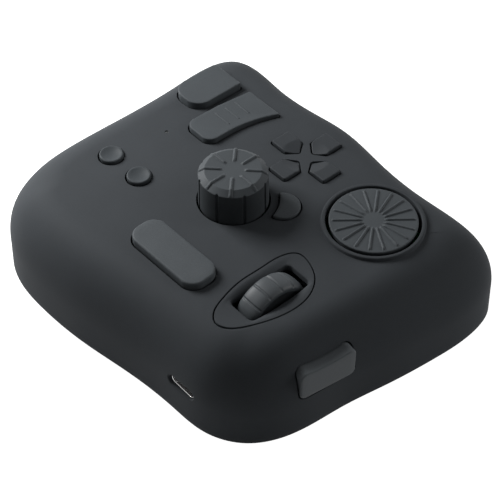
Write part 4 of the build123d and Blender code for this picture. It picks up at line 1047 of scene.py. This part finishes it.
# ------------------------------------------------------------------ scroll wheel
# Rubber tyre moulded round a plastic hub, with shallow grooves across it. The leaf-shaped
# bezel is a separate moulding, hollowed like a boat so that a finger reaches the wheel.
TYRE_GROOVES = 15
TYRE_FIRST_TURN = 16.6
AXLE_Z = 22.1
TYRE_INSIDE = 8.4
TYRE_SHOULDER = 8.9
TYRE_CROWN = 1.5            # how far its middle stands out past its shoulders
TYRE_HALF = 3.5             # half its width
TYRE_BACK = 0.83            # how round its back is; 1 is a plain ellipse
GROOVE = {"depth": 0.3, "half_width": 0.4, "starts": (9.2, 9.7)}


def tyre_back(turn):
    """Radius and place across of a point of the tyre's back."""
    out, across = cos(turn), sin(turn)
    return (TYRE_SHOULDER + TYRE_CROWN * abs(out) ** TYRE_BACK,
            TYRE_HALF * across / abs(across) * abs(across) ** TYRE_BACK)


TYRE_PROFILE = np.array([(TYRE_INSIDE, -TYRE_HALF), *map(tyre_back, np.linspace(-pi / 2, pi / 2, 28)),
                         (TYRE_INSIDE, TYRE_HALF)])


def tyre_shape(radius, across, angle):
    """A groove down the middle of the sector."""
    groove = hump(radius * sin(angle), GROOVE["half_width"]) * ramp(radius, *GROOVE["starts"])
    return radius - GROOVE["depth"] * groove, across


# Moulded silicone rubber: dark and satin, with hardly any grain.
rubber = grain_finish(
    "moulded silicone rubber", "#3f4346", grain=0.2, depth=0.012, roughness=0.5, spread=0.04)
tyre_sector = profile_sector("tyre", TYRE_PROFILE, 360 / TYRE_GROOVES, 44, tyre_shape)
tyre = whole_ring(tyre_sector, TYRE_GROOVES, TYRE_FIRST_TURN, rubber)
tyre.transform(Matrix(((0, 0, 1, 0), (0, 1, 0, 0), (1, 0, 0, 0), (0, 0, 0, 1))))
new_piece("scroll_tyre_dressed", put_down(tyre, (*WHEEL_PLACE, AXLE_Z)), rubber, "scroll_wheel",
          ["scroll_tyre"], sharp=50.0)


BEZEL_EASE = 0.14           # how far in from the leaf's outline its edge is drawn
BEZEL_LIP = 0.45            # rounded edge along the slot
BEZEL_HOLLOW = 1.1          # depth of the hollow beside the middle of the slot
SLOT_HALF_LENGTH = 10.1


def bezel_mesh():
    """Leaf with the wheel's slot in it, its face falling towards the slot."""
    slot = oblong(*SLOT_ENDS, SLOT_CORNER, 0.3)
    leaf = grown(LEAF, -BEZEL_EASE) - WHEEL_PLACE
    turns = np.arctan2(leaf[:, 1], leaf[:, 0])
    order = np.argsort(turns)
    reach = np.hypot(leaf[:, 0], leaf[:, 1])
    away = slot - WHEEL_PLACE
    at = np.arctan2(away[:, 1], away[:, 0])
    wide = np.interp(at, turns[order], reach[order], period=2 * pi)
    edge = np.column_stack([np.cos(at), np.sin(at)]) * wide[:, None] + WHEEL_PLACE
    low = BODY_TOP - BEZEL_THICKNESS + 0.02
    along = (slot[:, 1] - WHEEL_PLACE[1]) / SLOT_HALF_LENGTH
    depth = BEZEL_HOLLOW * (0.25 + 0.75 * np.clip(1 - np.abs(along) ** 3, 0, 1))

    def top(share):
        """Ring of the upper face, from the slot at 0 to the leaf's edge at 1."""
        place = slot + (edge - slot) * share
        return lift(place, BODY_TOP - depth * (1 - min(1.0, share / 0.8)) ** 1.6)

    rings = [lift(slot, low), lift(edge, low), lift(edge, BODY_TOP - 0.14)]
    rings += [lift(grown(edge, -0.04), BODY_TOP - 0.04), top(0.985)]
    rings += [top(share) for share in np.linspace(0.95, 0.12, 14)]
    for a in np.linspace(pi / 2, 0, 6):
        ring = grown(slot, BEZEL_LIP * (1 - cos(a)))
        rings.append(lift(ring, BODY_TOP - depth * 0.95 - 0.4 * (1 - sin(a))))
    return skin("bezel", rings, loop=True)


new_piece("bezel_dressed", bezel_mesh(), soft_touch, "base", ["scroll_bezel"])


# ------------------------------------------------------------------ wheel's hub, axle and cradle
# Moulded POM hub on a turned steel axle, carried by a moulded nylon cradle that rocks on the
# two pins of the housing's roof; a bare encoder sits at the axle's end.
def finish_nodes(material, *names):
    """Give carried-over solids a finish."""
    for name in names:
        mesh = frame["nodes"][name].data
        mesh.materials.clear()
        mesh.materials.append(material)


# Black POM and nylon, injection moulded: smooth, slightly waxy, with faint flow marks.
waxy_plastic = grain_finish(
    "moulded black POM", "#202224", grain=0.5, depth=0.006, roughness=0.38, mottle=5.0, patch=0.12)
finish_nodes(waxy_plastic, "scroll_hub", "scroll_cradle", "scroll_encoder", "scroll_switch")


def metal_finish(name, colour, roughness, line=(1, 1, 1), pitch=0.25, stain=4.0):
    """Bare or plated metal; line stretches its fine tool marks along an axis, pitch and stain in mm."""
    material, tree, shader = new_finish(name)
    place = add_node(tree, "ShaderNodeTexCoord").outputs["Object"]
    drawn = add_node(tree, "ShaderNodeMapping", {"Vector": place, "Scale": line})
    marks = add_node(tree, "ShaderNodeTexNoise", {
        "Vector": drawn.outputs[0], "Scale": 1 / (pitch * MM), "Detail": 3.0})
    cloud = add_node(tree, "ShaderNodeTexNoise", {"Vector": place, "Scale": 1 / (stain * MM), "Detail": 4.0})
    r, g, b, _ = linear(colour)
    tone = add_node(tree, "ShaderNodeValToRGB", {"Fac": cloud.outputs["Fac"]})
    tone.color_ramp.elements[0].position = 0.3
    tone.color_ramp.elements[0].color = (r * 0.82, g * 0.81, b * 0.78, 1)
    tone.color_ramp.elements[1].position = 0.72
    tone.color_ramp.elements[1].color = (r, g, b, 1)
    worn = add_node(tree, "ShaderNodeMapRange", {
        "Value": marks.outputs["Fac"], "From Min": 0.3, "From Max": 0.7,
        "To Min": roughness * 0.8, "To Max": roughness * 1.25})
    bump = add_node(tree, "ShaderNodeBump", {"Height": marks.outputs["Fac"], "Distance": 0.004 * MM})
    shader.inputs["Metallic"].default_value = 1.0
    tree.links.new(tone.outputs[0], shader.inputs["Base Color"])
    tree.links.new(worn.outputs[0], shader.inputs["Roughness"])
    tree.links.new(bump.outputs[0], shader.inputs["Normal"])
    return material


# Free-cutting steel, turned: fine rings round the axle, a bright line along it.
turned_steel = metal_finish("turned steel", "#a9a8a4", 0.24, line=(6, 0.6, 0.6))
finish_nodes(turned_steel, "scroll_axle")


# ------------------------------------------------------------------ encoders
# Rotary encoders with a push switch: nylon body, turned brass shaft with a nickel plate, and
# a small moulded button under each shaft.

# Glass-filled nylon, moulded: dull, nearly black, with a mottle from its fibres.
nylon = grain_finish(
    "glass-filled nylon", "#26282a", grain=0.18, depth=0.02, roughness=0.55, spread=0.14, patch=0.08)
finish_nodes(nylon, "knob_encoder", "dial_encoder")
# Nickel on turned brass: warm grey, bright, with rings from the lathe.
nickel = metal_finish("nickel-plated brass", "#b7b2a6", 0.2, line=(0.6, 0.6, 6))
finish_nodes(nickel, "knob_shaft", "dial_shaft")
finish_nodes(waxy_plastic, "knob_press_button", "dial_press_button")


# ------------------------------------------------------------------ switches
# Tact switches on the key board, the side board and the wheel's cradle: black nylon bodies
# with pale moulded plungers.
finish_nodes(nylon, "key_switches", "side_switch")
# POM plungers, unpigmented: a milky off-white.
plunger_finish = grain_finish(
    "natural POM", "#b9b6ac", grain=0.4, depth=0.004, roughness=0.33, mottle=2.0, patch=0.06)
finish_nodes(plunger_finish, *[
    f"{name}_plunger" for name in (*KEY_OUTLINES, "side", "scroll")])


# ------------------------------------------------------------------ boards
# Etched FR-4 boards under a green solder mask: the key board hangs from the roof, the main
# board stands on the cover and the side board stands on the main board.
def board_finish(name, mask, copper, track=1.3):
    """Solder mask over copper: track is the mean distance between conductors, in mm."""
    material, tree, shader = new_finish(name)
    place = add_node(tree, "ShaderNodeTexCoord").outputs["Object"]
    cells = add_node(tree, "ShaderNodeTexVoronoi", {
        "Vector": place, "Scale": 1 / (track * MM), "Randomness": 0.6},
        feature="F1", distance="CHEBYCHEV")
    raised = add_node(tree, "ShaderNodeMapRange", {
        "Value": cells.outputs["Distance"], "From Min": 0.30, "From Max": 0.36})
    weave = add_node(tree, "ShaderNodeTexWave", {
        "Vector": place, "Scale": 1 / (2.2 * MM), "Distortion": 1.5, "Detail": 1.0})
    mix = add_node(tree, "ShaderNodeMix", {
        "Factor": raised.outputs[0], 6: linear(mask), 7: linear(copper)}, data_type="RGBA")
    shade = add_node(tree, "ShaderNodeMapRange", {"Value": weave.outputs["Fac"], "To Min": 0.9, "To Max": 1.06})
    tint = add_node(tree, "ShaderNodeVectorMath", {0: mix.outputs[2], 1: shade.outputs[0]}, operation="MULTIPLY")
    bump = add_node(tree, "ShaderNodeBump", {"Height": raised.outputs[0], "Distance": 0.03 * MM})
    shader.inputs["Roughness"].default_value = 0.28
    tree.links.new(tint.outputs[0], shader.inputs["Base Color"])
    tree.links.new(bump.outputs[0], shader.inputs["Normal"])
    return material


# Green solder mask on FR-4: glossy dark green with the conductors showing as paler lines.
solder_mask = board_finish("solder mask on FR-4", "#0e3d24", "#1f6a3c")
finish_nodes(solder_mask, "key_board", "main_board", "side_board")
# Zinc-plated steel screws: cool grey and bright, a little cloudy from the bath.
zinc = metal_finish("zinc-plated steel", "#9fa2a6", 0.3, pitch=0.4, stain=1.5)
finish_nodes(zinc, "main_board_screws", "key_board_screws", "cover_screws")
# Moulded epoxy of the controller: dead matte black with fine pits.
epoxy = grain_finish("moulded epoxy", "#161718", grain=0.12, depth=0.01, roughness=0.6, spread=0.12, mottle=2.5)
finish_nodes(epoxy, "controller_chip")
finish_nodes(nylon, "board_connector")
# Fired ceramic capacitors and resistors: tan, speckled, satin.
ceramic = grain_finish("fired ceramic", "#8a6f4c", grain=0.15, depth=0.006, roughness=0.35, spread=0.18, mottle=1.2)
finish_nodes(ceramic, "board_parts")


# ------------------------------------------------------------------ power light
# White LED on the key board under a moulded acrylic pipe, which leads its light up to the
# pinhole in the housing's top.
def clear_finish(name, colour, haze):
    """Clear moulding that scatters a little, with faint flow lines; haze is its roughness."""
    material, tree, shader = new_finish(name)
    place = add_node(tree, "ShaderNodeTexCoord").outputs["Object"]
    flow = add_node(tree, "ShaderNodeTexNoise", {"Vector": place, "Scale": 1 / (0.8 * MM), "Distortion": 0.8})
    uneven = add_node(tree, "ShaderNodeMapRange", {
        "Value": flow.outputs["Fac"], "To Min": haze * 0.6, "To Max": haze * 1.4})
    r, g, b, _ = linear(colour)
    tone = add_node(tree, "ShaderNodeMix", {
        "Factor": flow.outputs["Fac"], 6: (r, g, b, 1), 7: (r * 0.8, g * 0.82, b * 0.85, 1)}, data_type="RGBA")
    shader.inputs["Transmission Weight"].default_value = 0.7
    shader.inputs["IOR"].default_value = 1.49
    tree.links.new(uneven.outputs[0], shader.inputs["Roughness"])
    tree.links.new(tone.outputs[2], shader.inputs["Base Color"])
    return material


# Smoke-tinted acrylic: unlit it reads as a dark pinhole with one small glint.
finish_nodes(clear_finish("smoked acrylic", "#55595c", 0.2), "light_pipe")
# Silicone over phosphor: pale yellow, soft.
phosphor = grain_finish("phosphor silicone", "#c9c08a", grain=0.1, depth=0.004, roughness=0.4, mottle=0.8)
finish_nodes(phosphor, "power_led")


# ------------------------------------------------------------------ USB-C socket
# Deep-drawn stainless shell soldered to the main board behind the opening in the wall, with
# a moulded tongue inside.
USB_LIP = 0.15              # radius of its rounded lip
USB_LIP_OUT = 0.3           # how far past the end of its solid it reaches
USB_FLOOR = 1.2             # thickness of its closed end


def usb_shell_mesh():
    """Oval cup, open towards the port, with a rounded lip that stands near the mouth of the opening."""
    outside = oblong((-4.45, -1.6), (4.45, 1.6), 1.55)
    low, high = (corner.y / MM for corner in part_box("usb_shell"))
    lip, front = USB_LIP, high + USB_LIP_OUT
    rings = [ring_in(USB_AXES, outside, low)]
    for a in np.linspace(0, pi, 9):
        rings.append(ring_in(USB_AXES, grown(outside, -lip * (1 - cos(a))), front - lip + lip * sin(a)))
    return skin("usb", rings + [ring_in(USB_AXES, grown(outside, -2 * lip), low + USB_FLOOR)])


# Stainless strip drawn to a cup: bright along its lip, fine lines along the draw.
stainless = metal_finish("drawn stainless steel", "#c6c7c9", 0.2, line=(0.8, 5, 0.8))
new_piece("usb_shell_dressed", usb_shell_mesh(), stainless, "base", ["usb_shell"])
finish_nodes(nylon, "usb_tongue")


# ------------------------------------------------------------------ underside
# Moulded ABS cover held by four screws, a steel plate inside it for weight, and a silicone
# pad bonded over the whole of it so that the keypad stays where it stands.

# Spark-textured ABS like the caps', darker and coarser.
cover_finish = grain_finish(
    "spark-textured ABS, cover", "#2b2d30", grain=0.35, depth=0.03, roughness=0.6, spread=0.08, gleam=0.15)
finish_nodes(cover_finish, "bottom_cover")
# Zinc-plated steel sheet: grey, cloudy in broad patches.
finish_nodes(metal_finish("zinc-plated sheet", "#8d9094", 0.35, pitch=0.6, stain=9.0), "ballast_plate")
# Calendered silicone sheet: dull, nearly black, faintly dusty in broad patches.
silicone = grain_finish(
    "silicone sheet", "#1c1d1e", grain=0.5, depth=0.03, roughness=0.78, spread=0.1, mottle=14.0, patch=0.14, gleam=0.1)
finish_nodes(silicone, "base_pad")
